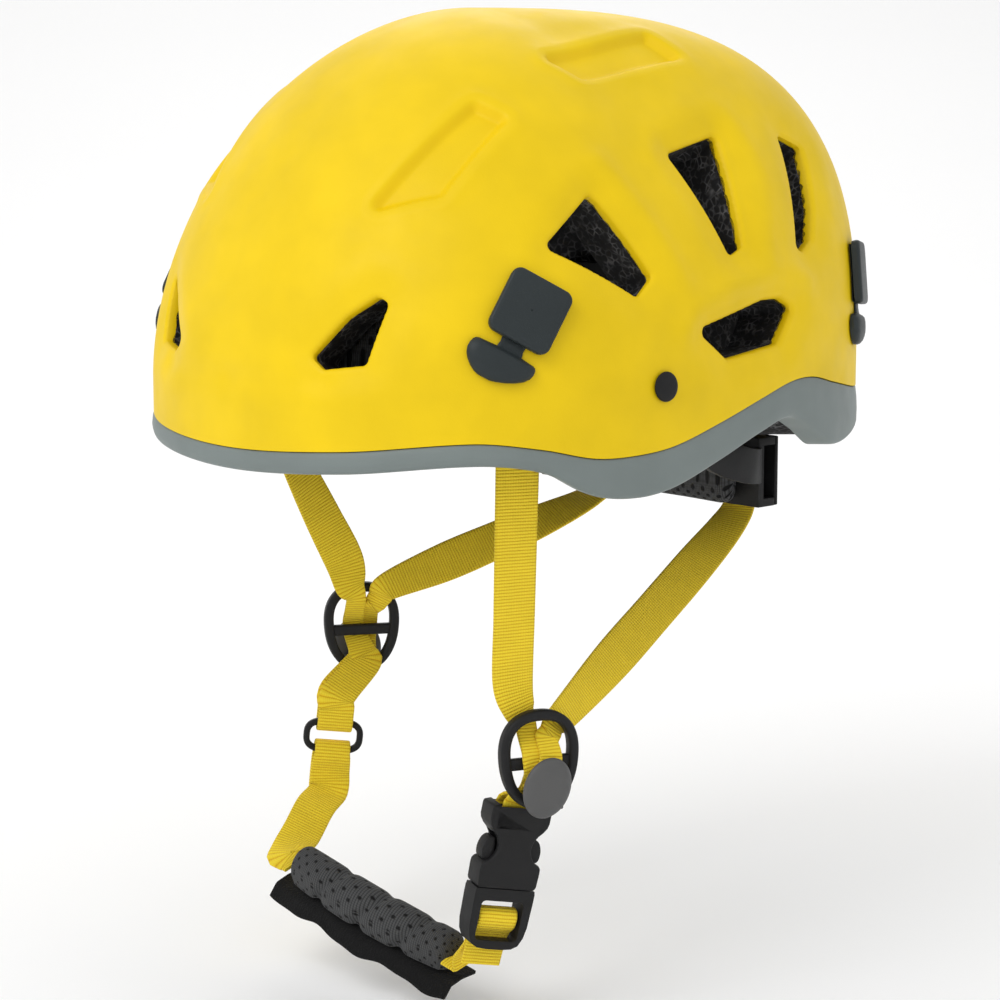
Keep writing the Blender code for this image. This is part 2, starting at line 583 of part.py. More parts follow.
def make_cradle():
    """Nape cradle: a plate with a channel for the two racks, swept arms and a back cover."""
    half, z, tall = CRADLE_HALF, CRADLE_Z, CRADLE_HEIGHT / 2
    y = CRADLE_Y
    plate = box("nape_cradle", (-half, y, z - tall), (half, y + 9 * MM, z + tall), "cradle_black")
    channel = cutter(slab((-half - 5 * MM, y + 3 * MM, z - 10 * MM),
                          (half + 5 * MM, y + 12 * MM, z + 10 * MM)), "rack_channel")
    combine(plate, [channel], "DIFFERENCE")
    for side, sign in (("l", 1), ("r", -1)):
        places = ((51, 1.5, 3), (59, -1, 3), (64.5, -14, 5), (65.8, -32, 11), (67.8, -48, 22),
                  (67.8, -62, 27))
        stations = [(Vector((sign * px * MM, y + py * MM, z + pz * MM)), (0, 0, 1))
                    for px, py, pz in places]
        arm = ribbon("arm_" + side, stations, "cradle_black", width=13 * MM, thick=2.2 * MM)
        combine(plate, [arm], "UNION")
    cover = box("cradle_cover", (-half, y + 9.3 * MM, z - tall), (half, y + 11 * MM, z + tall),
                "cradle_black")
    axis = Matrix.Translation((0, y, z)) @ Matrix.Rotation(-pi / 2, 4, "X")
    combine(cover, [cutter(bore_rings(4.3 * MM, axis, (6 * MM, 14 * MM)), "dial_hole")], "DIFFERENCE")

    # pinion on the dial's spindle, with short pointed teeth
    outline = []
    for k in range(PINION_TEETH):
        for share, radius in ((-0.20, 3.9), (-0.06, 5.7), (0.06, 5.7), (0.20, 3.9)):
            angle = 2 * pi * (k + share) / PINION_TEETH + pi / 2
            outline.append((radius * MM * cos(angle), radius * MM * sin(angle)))
    pinion = block("dial_pinion", outline, 3.6 * MM, 8.6 * MM, axis, "buckle_black")
    spindle = turned("spindle", ((3.5 * MM, 8.0 * MM), (3.5 * MM, 11.3 * MM)), axis, "buckle_black", 20)
    combine(pinion, [spindle], "UNION")

    # dial: gripped rim with waves, flat back
    waves = 14
    grip = []
    for k in range(waves * 4):
        angle = 2 * pi * k / (waves * 4)
        radius = DIAL_R - 0.9 * MM * (1 - cos(waves * angle)) / 2
        grip.append((radius * cos(angle), radius * sin(angle)))
    dial = block("size_dial", grip, 11.6 * MM, 20.5 * MM, axis, "buckle_black", chamfer=1.0 * MM)
    on_axis("dial_axis", (0, y, z), [dial, pinion])

    pitch = 2 * pi * PINION_PITCH_R / PINION_TEETH
    racks, hangers = [], []
    for side, sign in (("l", 1), ("r", -1)):
        # the left rack runs over the pinion and the right one under it
        back, base = 9.6 * MM, 6.2 * MM
        points = [(-28 * MM, back), (50 * MM, back), (50 * MM, base)]
        for tooth in range(2, -7, -1):
            middle = (tooth + 0.5) * pitch
            for share, height in ((0.19, base), (0.06, 4.4 * MM), (-0.06, 4.4 * MM), (-0.19, base)):
                points.append((middle + share * pitch, height))
        points.append((-28 * MM, base))
        rings = [[Vector((sign * px, y + depth, z + sign * pz)) for px, pz in points]
                 for depth in (3.6 * MM, 8.6 * MM)]
        racks.append(loft("rack_" + side, rings, "buckle_black", smooth=False))
        # flexible hanger from the cradle up to the foam
        run = [(Vector((sign * px, y / MM + py, (z + tall) / MM + pz)) * MM, (1, 0, 0))
               for px, py, pz in ((40, 3, 0.7), (41, 6, 14), (42, 8, 34))]
        hangers.append(ribbon("cradle_hanger_" + side, run, "cradle_black", width=9 * MM,
                              thick=1.2 * MM))
    # nape pad in front of the plate, fuller at its ends
    rings = []
    for k in range(13):
        x = (-1 + k / 6) * 50 * MM
        deep = (6 + 4 * (x / (50 * MM)) ** 2) * MM
        rings.append([Vector((x, y - GAP, z - 12 * MM)), Vector((x, y - GAP, z + 12 * MM)),
                      Vector((x, y - GAP - deep, z + 9 * MM)), Vector((x, y - GAP - deep, z - 9 * MM))])
    pad = loft("nape_pad", rings, "pad_grey")
    on_axis("cradle_travel", (0, y, z), [plate, cover, pad] + racks + hangers)


# ---------------------------------------------------------------- harness
def make_divider(side, frame):
    """Egg-shaped strap divider with a crossbar, and the oval lever that clamps the webbing."""
    outer = oval_outline(14.5 * MM, 17.5 * MM, 28, 2.2, -0.08)
    ring = block("divider_" + side, outer, -2 * MM, 2 * MM, frame, "buckle_black", chamfer=0.8 * MM)
    hole = oval_outline(11.0 * MM, 13.6 * MM, 24, 2.8, -0.08)
    hollow = cutter([[frame @ Vector((x, y, z)) for x, y in hole] for z in (-4 * MM, 4 * MM)],
                    "divider_hole_" + side)
    combine(ring, [hollow], "DIFFERENCE")
    bar = box("bar_" + side, (-12.5 * MM, -3.2 * MM, -1.4 * MM), (12.5 * MM, 1.0 * MM, 1.4 * MM),
              "buckle_black", frame)
    combine(ring, [bar], "UNION")
    lever_frame = frame @ Matrix.Translation((0, -8.5 * MM, 0)) @ Matrix.Rotation(radians(-22), 4, "Z")
    rings = []
    for scale, z in ((0.86, 6.4), (1.0, 7.2), (0.97, 8.4), (0.82, 9.6), (0.5, 10.4)):
        rings.append([lever_frame @ Vector((x * scale, y * scale, z * MM))
                      for x, y in oval_outline(8.6 * MM, 10.6 * MM, 24, 2.1)])
    lever = loft("divider_lever_" + side, rings, "clip_slate")
    # two cheeks with round feet, on the lever's own cross axis
    y, z = LEVER_AXIS
    foot = [(y + 1.5 * MM * cos(pi * (1 + k / 6)), z + 1.5 * MM * sin(pi * (1 + k / 6))) for k in range(7)]
    side_view = foot + [(y + 1.5 * MM, 8.2 * MM), (y - 1.5 * MM, 8.2 * MM)]
    cheeks = []
    for x0, x1 in ((-6.0 * MM, -4.2 * MM), (4.2 * MM, 6.0 * MM)):
        rings = [[frame @ Vector((x, py, pz)) for py, pz in side_view] for x in (x0, x1)]
        cheeks.append(loft("cheek_%s_%d" % (side, len(cheeks)), rings, "clip_slate"))
    combine(lever, cheeks, "UNION")
    on_axis("lever_axis_" + side, frame @ Vector((0, y, z)), [lever])


def through_divider(frame, lean, layer):
    """Stations from above a divider to below it: behind its top, over the bar, behind its foot."""
    column = 2 if layer == "inner" else 1
    across = frame.col[0].to_3d()
    # height, depth of the outer and of the inner layer, sideways share, share of the width
    route = ((27, -3.2, -5.0, 7.5, 1.0), (17, -3.2, -5.0, 5.2, 0.8), (12.6, -3.1, -4.9, 3.0, 0.54),
             (8.0, -0.6, -2.5, 2.9, 0.52), (3.2, 3.3, 1.6, 2.9, 0.54), (0.8, 4.3, 2.5, 2.8, 0.56),
             (-3.2, 4.2, 2.5, 2.0, 0.6), (-6.5, 1.7, -0.1, 1.0, 0.66), (-9.8, -1.5, -3.3, 0, 0.75),
             (-12.8, -4.0, -6.2, 0, 0.85))
    return [(frame @ (Vector((lean * row[3], row[0], row[column])) * MM), across, row[4])
            for row in route]


def make_harness_strap(side, sign, frame, bar_frame, bar_y, bar_z, bar_r, lead):
    """One length of webbing: front anchor, divider, round the lower bar, divider, rear anchor."""
    across = frame.col[0].to_3d()
    lean = -sign
    front = []
    for z, degrees in FRONT_RUN[side]:
        turn = radians(degrees) * sign
        tangent = Vector((cos(turn), sin(turn), 0))
        radius = wall_radius(LINER_INSIDE, turn, z * MM) - 2.9 * MM
        front.append((at_turn(radius, turn, z * MM), tangent))
    down = through_divider(frame, lean, "inner")
    up = through_divider(frame, -lean, "outer")[3:][::-1]
    toward = across if across.dot(tangent) > 0 else -across
    middle = [(front[-1][0].lerp(down[0][0], s), tangent.lerp(toward, s)) for s in (0.35, 0.7)]
    # round the lower bar, from behind it to its front
    reach = bar_r + GAP + WEB_THICK / 2
    axis = bar_frame.col[0].to_3d()
    loop = [(bar_frame @ Vector((0, bar_y + lift * MM, bar_z - reach)), axis, 0.9) for lift in lead]
    for degrees in (180, 225, 270, 315, 360):
        angle = radians(degrees)
        spot = Vector((0, bar_y + reach * sin(angle), bar_z + reach * cos(angle)))
        loop.append((bar_frame @ spot, axis, 0.9))
    loop += [(bar_frame @ Vector((0, bar_y + lift * MM, bar_z + reach)), axis, 0.9)
             for lift in lead[::-1]]
    low = Vector((sign * 36 * MM, 105.8 * MM, -157 * MM))
    for x, y, z, wide, share in LEAVING[side]:
        up.append((frame @ (Vector((x, y, z)) * MM), Vector(wide), share))
    top = up[-1][0]
    rear = [(top.lerp(low, share) + Vector((0, 0, sag * MM)), Vector(wide))
            for share, sag, wide in TO_CRADLE[side]]
    rear += [(low + Vector((0, 0.4 * MM, 3 * MM)), (sign, 0, 0)),
             (Vector((sign * 37 * MM, 106.2 * MM, -142 * MM)), (sign, 0, 0)),
             (Vector((sign * 39 * MM, 106.2 * MM, -126 * MM)), (sign, 0, 0))]
    turn = radians(157) * sign
    tangent = Vector((cos(turn), sin(turn), 0))
    for z, depth in ((-108, 6.6), (-92, 6.0), (-80.8, 6.0)):
        radius = wall_radius(LINER_INSIDE, turn, z * MM) - depth * MM
        rear.append((at_turn(radius, turn, z * MM), tangent))
    ribbon("harness_strap_" + side, front + middle + down + loop + up + rear, "webbing_yellow",
           per_span=3)


def make_anchor(name, turn_degrees, z, depth):
    """Small plate on the foam that holds an end of webbing."""
    turn = radians(turn_degrees)
    centre = at_turn(wall_radius(LINER_INSIDE, turn, z) - depth, turn, z)
    frame = Matrix.Translation(centre) @ Matrix.Rotation(turn, 4, "Z") @ Matrix.Rotation(pi / 2, 4, "X")
    block(name, rounded_outline(9.5 * MM, 6 * MM, 2 * MM, 3), -1.4 * MM, 1.4 * MM, frame,
          "buckle_black", chamfer=0.5 * MM)


def make_ring(frame):
    """Slim oval ring that joins the right harness strap to the chin strap."""
    outer = oval_outline(11.4 * MM, 7.0 * MM, 28, 2.8)
    ring = block("strap_ring", outer, -1.4 * MM, 1.4 * MM, frame, "buckle_black", chamfer=0.6 * MM)
    hole = oval_outline(9.0 * MM, 4.4 * MM, 24, 3.4)
    hollow = cutter([[frame @ Vector((x, y, z)) for x, y in hole] for z in (-3 * MM, 3 * MM)],
                    "strap_ring_hole")
    combine(ring, [hollow], "DIFFERENCE")


def make_buckle(frame):
    """Side-release buckle; y runs up the strap and z outwards, from the top of the socket half."""
    half, thick = BUCKLE_WIDTH / 2 / MM, BUCKLE_THICK / 2 / MM
    right = [(half, -1.0), (half, -6.5), (9.4, -9.2), (7.4, -12.0), (6.6, -15.5), (7.4, -19.0),
             (9.2, -20.8), (half, -22.2), (half - 0.3, -29.0), (half - 1.2, -30.0)]
    outline = [(x, y) for x, y in right[::-1]] + [(half - 1, 0)] + [(-half + 1, 0)]
    outline += [(-x, y) for x, y in right]
    outline = [(x * MM, y * MM) for x, y in outline]
    socket = block("buckle_socket", outline, -thick * MM, thick * MM, frame, "buckle_black",
                   chamfer=0.9 * MM)
    cuts = [cutter(slab((-9.2 * MM, -34 * MM, -2.9 * MM), (9.2 * MM, -10.5 * MM, 2.9 * MM), frame),
                   "prong_space"),
            cutter(slab((-8.3 * MM, -8.0 * MM, -9 * MM), (8.3 * MM, 3 * MM, 9 * MM), frame),
                   "socket_slot")]
    combine(socket, cuts, "DIFFERENCE")
    bar_frame = frame @ Matrix.Translation((0, -2.8 * MM, -1.0 * MM)) @ Matrix.Rotation(pi / 2, 4, "Y")
    bar = turned("socket_bar", ((1.6 * MM, -9.5 * MM), (1.6 * MM, 9.5 * MM)), bar_frame,
                 "buckle_black", 12)
    combine(socket, [bar], "UNION")

    # plug half: shoulder, tongue and the frame that the chin webbing threads
    sides = [(11.2, -30.3), (11.3, -32.5), (11.0, -44.0), (9.6, -49.5), (7.0, -51.8)]
    outline = [(x * MM, y * MM) for x, y in sides[::-1]] + [(-x * MM, y * MM) for x, y in sides]
    plug = block("buckle_plug", outline, -4.2 * MM, 4.2 * MM, frame, "buckle_black", chamfer=0.8 * MM)
    cuts = [cutter(slab((-8.2 * MM, -49.0 * MM, -9 * MM), (8.2 * MM, -34.6 * MM, 9 * MM), frame),
                   "plug_window"),
            cutter(slab((-8.2 * MM, -55.0 * MM, -9 * MM), (8.2 * MM, -48.0 * MM, -0.3 * MM), frame),
                   "strap_relief")]
    combine(plug, cuts, "DIFFERENCE")
    bar = box("plug_bar", (-9.5 * MM, -43.2 * MM, -1.4 * MM), (9.5 * MM, -40.2 * MM, 1.6 * MM),
              "buckle_black", frame)
    tongue = box("tongue", (-2.2 * MM, -31.5 * MM, -2.2 * MM), (2.2 * MM, -13 * MM, 2.2 * MM),
                 "buckle_black", frame)
    combine(plug, [bar, tongue], "UNION")
    on_axis("buckle_travel", frame.translation, [plug])
    for side, sign in (("front", -1), ("rear", 1)):
        points = ((6.2, -30.0), (8.6, -30.0), (8.7, -20.4), (10.9, -20.0), (10.9, -15.5),
                  (9.6, -12.8), (7.6, -12.2), (6.9, -15.0), (6.6, -22.0))
        outline = [(sign * x * MM, y * MM) for x, y in points]
        rings = [[frame @ Vector((x, y, z * MM)) for x, y in outline] for z in (-2.5, 2.5)]
        prong = loft("buckle_prong_" + side, rings, "buckle_black")
        on_axis("prong_root_" + side, frame @ Vector((sign * PRONG_ROOT[0], PRONG_ROOT[1], 0)), [prong])


def make_chin_strap(ring_frame, buckle_frame):
    """Webbing from the ring to the pad, and from the pad through the buckle's frame."""
    axis = ring_frame.col[0].to_3d()
    reach = 2.4 * MM + GAP + WEB_THICK / 2
    loop = []
    for degrees in (0, 45, 90, 135, 180):
        angle = radians(degrees)
        spot = Vector((0, -5.7 * MM + reach * sin(angle), reach * cos(angle)))
        loop.append((ring_frame @ spot, axis, 0.9))
    run = (PAD_LEFT_END - PAD_RIGHT_END).normalized()
    end = PAD_RIGHT_END - run * 2.8 * MM
    flat = Vector((0.1, 0.95, 0.3))
    out = ring_frame.col[2].to_3d()
    tail = [(ring_frame @ Vector((0, -20 * MM, 0.0)), axis),
            (ring_frame @ Vector((0, -14 * MM, 0.8 * MM)), axis),
            (ring_frame @ Vector((0, -8.7 * MM, reach)), axis, 0.95)]
    down = [(ring_frame @ Vector((0, -8.7 * MM, -reach)), axis, 0.95),
            (ring_frame @ Vector((0, -14 * MM, -1.6 * MM)), axis),
            (ring_frame @ Vector((0, -21 * MM, -2.2 * MM)), axis),
            (Vector((-62 * MM, -23 * MM, -269.5 * MM)), (-0.63, -0.71, 0.30)),
            (Vector((-57.5 * MM, -34 * MM, -277.5 * MM)), (-0.38, -0.88, 0.10)),
            (end - run * 4 * MM, -flat), (end, -flat)]
    ribbon("chin_strap_r", tail + loop + down, "webbing_yellow", per_span=3)

    axis = buckle_frame.col[0].to_3d()
    start = PAD_LEFT_END + run * 1.8 * MM
    places = ((0, -53.0, -4.4), (0, -49.5, -4.0), (0, -45.0, -3.4), (0, -41.7, -2.9),
              (0, -39.2, -1.9), (0, -38.3, 0.2), (0, -39.3, 2.2), (0, -41.7, 2.8), (0, -44.3, 2.0),
              (0, -46.6, -0.3), (0, -49.5, -1.9), (0, -53.5, -2.7), (0, -60.0, -3.2))
    inner = [(buckle_frame @ (Vector(p) * MM), axis) for p in places]
    lead = [(start, flat), (start + run * 2 * MM, flat), (start + run * 4 * MM, flat),
            (start.lerp(inner[0][0], 0.4), flat * 0.8 + axis * 0.2),
            (start.lerp(inner[0][0], 0.75), flat * 0.35 + axis * 0.65)]
    ribbon("chin_strap_l", lead + inner, "webbing_yellow", per_span=2)


def make_chin_pad():
    """Padded roll on the chin strap, and the soft lining that hangs below it."""
    run = PAD_LEFT_END - PAD_RIGHT_END
    along = run.normalized()
    forward = Vector((0, -1, 0))
    forward = (forward - along * forward.dot(along)).normalized()
    upward = forward.cross(along).normalized()
    if upward.z < 0:
        upward = -upward
    rings, sheet = [], []
    steps = 12
    for k in range(steps + 1):
        s = k / steps
        here = PAD_RIGHT_END + run * s + forward * 3.0 * MM * sin(pi * s)
        swell = 0.80 + 0.20 * sin(pi * s) ** 0.5
        rings.append([here + (forward * cos(a) * 7.2 + upward * sin(a) * 8.2) * swell * MM
                      for a in (2 * pi * j / 16 for j in range(16))])
        drop = 13.5 + 2.0 * sin(pi * s) + 1.2 * cos(6 * pi * s)
        root = here - upward * 8.6 * MM + forward * 1.0 * MM
        tip = here - upward * drop * MM + forward * 6.0 * MM
        back = here - upward * 8.6 * MM - forward * 8.0 * MM
        thick = upward * 0.8 * MM
        sheet.append([back - thick, root - thick, tip - thick, tip + thick, root + thick * 0.4,
                      back + thick * 0.4])
    loft("chin_pad", rings, "pad_grey")
    loft("chin_pad_lining", sheet, "lining_black")


def make_harness():
    left = upright(DIVIDER_LEFT, DIVIDER_LEFT_FACING)
    right = upright(DIVIDER_RIGHT, DIVIDER_RIGHT_FACING)
    make_divider("l", left)
    make_divider("r", right)
    buckle = upright(left @ Vector((-4 * MM, -17 * MM, -8 * MM)), 72, (-11, 4))
    make_buckle(buckle)
    ring = upright(STRAP_RING, STRAP_RING_FACING, (6, 0))
    make_ring(ring)
    make_harness_strap("l", 1, left, buckle, -2.8 * MM, -1.0 * MM, 1.9 * MM, (3,))
    make_harness_strap("r", -1, right, ring, 5.7 * MM, 0, 2.3 * MM, (11, 6, 2.8))
    make_chin_strap(ring, buckle)
    make_chin_pad()
    for side, sign in (("l", 1), ("r", -1)):
        make_anchor("front_anchor_" + side, sign * 58.5, -88 * MM, 4.6 * MM)
        make_anchor("rear_anchor_" + side, sign * 157, -74 * MM, 6.6 * MM)


def build_helmet():
    make_shells()
    for side, sign in (("l", 1), ("r", -1)):
        make_clip("front", side, FRONT_CLIP, sign)
        make_clip("rear", side, REAR_CLIP, sign)
        make_plug(side, sign)
    make_headband()
    make_pads()
    make_cradle()
    make_harness()


for old in list(bpy.data.objects):
    bpy.data.objects.remove(old)
build_helmet()
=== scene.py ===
# %% [markdown]
# # Climbing helmet
# A light climbing helmet: a painted shell moulded over black bead foam, a grey lower shell round its
# rim, four lamp clips, a size dial at the nape and a webbing harness with a chin buckle.
# The frame below already holds every piece at its true size and place, and how it moves. This lesson
# only makes the looks: each visible piece is modelled again, finely, where its plain solid stands.

# %% Load the frame
import json
from math import cos, pi, radians, sin

import bpy
import numpy as np
from mathutils import Matrix, Vector


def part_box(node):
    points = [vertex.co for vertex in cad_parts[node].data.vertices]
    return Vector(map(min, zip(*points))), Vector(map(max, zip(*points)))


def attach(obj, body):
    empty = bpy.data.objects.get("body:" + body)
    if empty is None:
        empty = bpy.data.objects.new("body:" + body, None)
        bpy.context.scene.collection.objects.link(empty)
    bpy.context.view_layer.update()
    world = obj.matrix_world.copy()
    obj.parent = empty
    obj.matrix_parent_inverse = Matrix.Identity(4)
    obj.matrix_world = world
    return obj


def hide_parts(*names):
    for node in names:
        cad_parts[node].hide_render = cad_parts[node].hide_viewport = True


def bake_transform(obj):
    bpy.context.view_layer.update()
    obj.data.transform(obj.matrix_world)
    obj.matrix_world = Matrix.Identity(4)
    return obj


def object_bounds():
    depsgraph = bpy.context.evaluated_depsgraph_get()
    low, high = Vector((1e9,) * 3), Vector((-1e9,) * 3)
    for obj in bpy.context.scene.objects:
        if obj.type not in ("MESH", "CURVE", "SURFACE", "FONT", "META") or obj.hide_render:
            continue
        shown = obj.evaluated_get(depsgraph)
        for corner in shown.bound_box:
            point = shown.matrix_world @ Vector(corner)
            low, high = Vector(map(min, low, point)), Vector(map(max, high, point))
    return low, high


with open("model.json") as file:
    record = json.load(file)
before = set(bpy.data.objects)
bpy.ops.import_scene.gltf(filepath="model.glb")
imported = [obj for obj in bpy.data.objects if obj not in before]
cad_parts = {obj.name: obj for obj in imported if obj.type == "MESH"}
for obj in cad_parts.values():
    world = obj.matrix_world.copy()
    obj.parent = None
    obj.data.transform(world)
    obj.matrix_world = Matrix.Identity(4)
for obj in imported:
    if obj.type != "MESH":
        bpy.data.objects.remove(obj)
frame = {"nodes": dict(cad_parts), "record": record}
CAD_LOW, CAD_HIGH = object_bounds()
MM = 0.001

# %% [markdown]
# ## Camera and light
# A long lens, about a metre away and a little above the brow, flattens the helmet the way a catalogue
# view does. The light is a white tent: an even white world, one large soft lamp from the front left
# and a weak one behind. A pale floor lies just under the chin flap, so it bounces light upwards.

# %% Camera
VIEW_TARGET = Vector((0.0076, 0.0081, -0.1468))
VIEW_FROM = Vector((0.8021, -0.7328, 0.0253))
LENS_MM = 108.8


def aim(obj, target):
    obj.rotation_euler = (target - obj.location).to_track_quat("-Z", "Y").to_euler()


bpy.ops.object.camera_add(location=VIEW_FROM)
camera = bpy.context.active_object
camera.data.lens = LENS_MM
camera.data.clip_end = 20
aim(camera, VIEW_TARGET)
bpy.context.scene.camera = camera
print("camera distance", round((VIEW_TARGET - VIEW_FROM).length, 3), "m")

# %% Light, floor and colour
bpy.context.scene.view_settings.view_transform = "Standard"
world = bpy.data.worlds.new("white_tent")
world.use_nodes = True
world.node_tree.nodes["Background"].inputs["Color"].default_value = (1, 1, 1, 1)
world.node_tree.nodes["Background"].inputs["Strength"].default_value = 0.80
bpy.context.scene.world = world

for lamp, place, size, watts in (("key", (0.15, -1.25, 1.0), 0.9, 9.0),
                                 ("rim", (-0.9, 0.9, 0.8), 0.8, 4.0)):
    bpy.ops.object.light_add(type="AREA", location=place)
    light = bpy.context.active_object
    light.name = lamp
    light.data.size = size
    light.data.energy = watts
    aim(light, Vector((0, 0, -0.1)))

FLOOR_Z = CAD_LOW.z - 0.006
FLAT_REACH, BEND, WALL_TOP = 1.0, 0.8, 3.0      # metres behind the helmet, bend radius, wall height
bpy.ops.mesh.primitive_grid_add(x_subdivisions=60, y_subdivisions=2, size=1)
sweep = bpy.context.active_object
sweep.name = "paper_sweep"
away = (VIEW_TARGET - VIEW_FROM).normalized()
heading = np.array((away.x, away.y, 0)) / np.hypot(away.x, away.y)
across_view = np.array((-heading[1], heading[0], 0))
flat = np.array([v.co for v in sweep.data.vertices])
travel = (flat[:, 0] + 0.5) * (2.5 + FLAT_REACH + BEND * pi / 2 + WALL_TOP) - 2.5
bend = np.clip((travel - FLAT_REACH) / BEND, 0, pi / 2)
climb = np.maximum(travel - FLAT_REACH - BEND * pi / 2, 0)
forward_reach = np.minimum(travel, FLAT_REACH) + BEND * np.sin(bend)
rise = FLOOR_Z + BEND * (1 - np.cos(bend)) + climb
ground = forward_reach[:, None] * heading + (flat[:, 1:2] * 10) * across_view
ground[:, 2] = rise
sweep.data.vertices.foreach_set("co", ground.ravel())
sweep.data.update()
bpy.ops.object.shade_smooth()
paper = bpy.data.materials.new("paper")
paper.use_nodes = True
paper.node_tree.nodes["Principled BSDF"].inputs["Base Color"].default_value = (0.97, 0.97, 0.97, 1)
paper.node_tree.nodes["Principled BSDF"].inputs["Roughness"].default_value = 1.0
paper.node_tree.nodes["Principled BSDF"].inputs["Specular IOR Level"].default_value = 0.0
sweep.data.materials.append(paper)

# %% [markdown]
# ## Finishes
# Each finish is a small node tree on one Principled shader. `finish` starts it, `link` joins sockets,
# and `bump` turns a height into fine relief. Moulded pieces read Object coordinates; webbing and
# padded cloth read their own UV map, which is laid out in metres so that a rib keeps its true pitch.

# %% Node helpers
def finish(name, colour, roughness, shine=0.22, sheen=0.0):
    made = bpy.data.materials.new(name)
    made.use_nodes = True
    shader = made.node_tree.nodes["Principled BSDF"]
    shader.inputs["Base Color"].default_value = (*colour, 1)
    shader.inputs["Roughness"].default_value = roughness
    shader.inputs["Specular IOR Level"].default_value = shine
    shader.inputs["Sheen Weight"].default_value = sheen
    made.diffuse_color = (*colour, 1)
    return made


def node(made, kind, **values):
    """A new node; values name its properties, or its input sockets where they start with in_."""
    step = made.node_tree.nodes.new(kind)
    for key, value in values.items():
        if key.startswith("in_"):
            step.inputs[int(key[3:])].default_value = value
        else:
            setattr(step, key, value)
    return step


def link(made, start, end):
    made.node_tree.links.new(start, end)


def shader_of(made):
    return made.node_tree.nodes["Principled BSDF"]


def noise(made, scale, detail=2.0, stretch=(1, 1, 1), source="Object"):
    """Noise over the piece; its height output."""
    where = node(made, "ShaderNodeTexCoord")
    mapping = node(made, "ShaderNodeMapping")
    mapping.inputs["Scale"].default_value = stretch
    pattern = node(made, "ShaderNodeTexNoise")
    pattern.inputs["Scale"].default_value = scale
    pattern.inputs["Detail"].default_value = detail
    link(made, where.outputs[source], mapping.inputs["Vector"])
    link(made, mapping.outputs["Vector"], pattern.inputs["Vector"])
    return pattern.outputs["Fac"]


def ramp(made, height, stops):
    """Colour ramp over a height; stops are (position, grey or colour)."""
    step = node(made, "ShaderNodeValToRGB")
    band = step.color_ramp
    while len(band.elements) < len(stops):
        band.elements.new(0.5)
    for element, (position, value) in zip(band.elements, stops):
        element.position = position
        element.color = (*value, 1) if isinstance(value, tuple) else (value, value, value, 1)
    link(made, height, step.inputs["Fac"])
    return step.outputs["Color"]


def bump(made, height, depth, strength=1.0, below=None):
    """Relief of a given depth in metres, on top of the relief below it."""
    step = node(made, "ShaderNodeBump")
    step.inputs["Strength"].default_value = strength
    step.inputs["Distance"].default_value = depth
    link(made, height, step.inputs["Height"])
    if below is not None:
        link(made, below, step.inputs["Normal"])
    link(made, step.outputs["Normal"], shader_of(made).inputs["Normal"])
    return step.outputs["Normal"]


def maths(made, operation, first, second=None):
    step = node(made, "ShaderNodeMath", operation=operation)
    for k, value in enumerate((first, second)):
        if value is None:
            continue
        if isinstance(value, (int, float)):
            step.inputs[k].default_value = value
        else:
            link(made, value, step.inputs[k])
    return step.outputs[0]


# %% [markdown]
# ### Painted and moulded plastic
# The shell's paint is a satin yellow with a faint orange peel. Moulded pieces are dark, and show a
# fine spark-eroded grain. Both vary a little in gloss, as handled plastic does.

# %% Paint and plastic
def plastic(name, colour, roughness, grain, depth, spread=0.12):
    """Moulded plastic: grain is its pits per metre, spread how much its gloss varies."""
    made = finish(name, colour, roughness)
    patches = noise(made, 38.0, 3.0)
    darker = tuple(c * 0.94 for c in colour)
    lighter = tuple(min(c * 1.05, 1) for c in colour)
    tint = ramp(made, patches, ((0.3, darker), (0.7, lighter)))
    link(made, tint, shader_of(made).inputs["Base Color"])
    gloss = ramp(made, noise(made, 95.0, 4.0),
                 ((0.25, roughness - spread / 2), (0.75, roughness + spread / 2)))
    link(made, gloss, shader_of(made).inputs["Roughness"])
    bump(made, noise(made, grain, 2.0), depth, 0.5)
    return made


SHELL_YELLOW = plastic("shell_yellow_paint", (0.830, 0.575, 0.002), 0.50, 1500.0, 0.00006)
BAND_GREY = plastic("band_grey_paint", (0.190, 0.222, 0.216), 0.46, 1500.0, 0.00006)
CLIP_SLATE = plastic("clip_slate_plastic", (0.026, 0.033, 0.035), 0.46, 2600.0, 0.00008)
BUCKLE_BLACK = plastic("buckle_black_plastic", (0.0130, 0.0130, 0.0135), 0.50, 2600.0, 0.00010)
CAP_GREY = plastic("cap_grey_plastic", (0.100, 0.100, 0.100), 0.38, 2400.0, 0.00009)
CRADLE_BLACK = plastic("cradle_black_plastic", (0.0110, 0.0110, 0.0115), 0.55, 2000.0, 0.00010)
print("paint and plastic: 6 finishes")

# %% [markdown]
# ### Bead foam
# Expanded foam is thousands of steamed beads pressed together. A Voronoi pattern gives each bead's
# outline; the skin between beads catches light, so the cell edges are paler than their middles.

# %% Bead foam
def bead_foam():
    made = finish("bead_foam", (0.016, 0.016, 0.017), 0.78)
    where = node(made, "ShaderNodeTexCoord")
    cells = node(made, "ShaderNodeTexVoronoi", feature="DISTANCE_TO_EDGE")
    cells.inputs["Scale"].default_value = 420.0
    link(made, where.outputs["Object"], cells.inputs["Vector"])
    edges = ramp(made, cells.outputs["Distance"], ((0.0, 1.0), (0.16, 0.0)))
    broken = ramp(made, noise(made, 260.0, 5.0), ((0.42, 0.0), (0.66, 1.0)))
    veins = maths(made, "MULTIPLY", edges, broken)
    tint = ramp(made, veins, ((0.0, (0.011, 0.011, 0.012)), (1.0, (0.135, 0.135, 0.140))))
    link(made, tint, shader_of(made).inputs["Base Color"])
    low = bump(made, cells.outputs["Distance"], 0.0004, 0.6)
    bump(made, noise(made, 900.0, 3.0), 0.00025, 0.5, below=low)
    return made


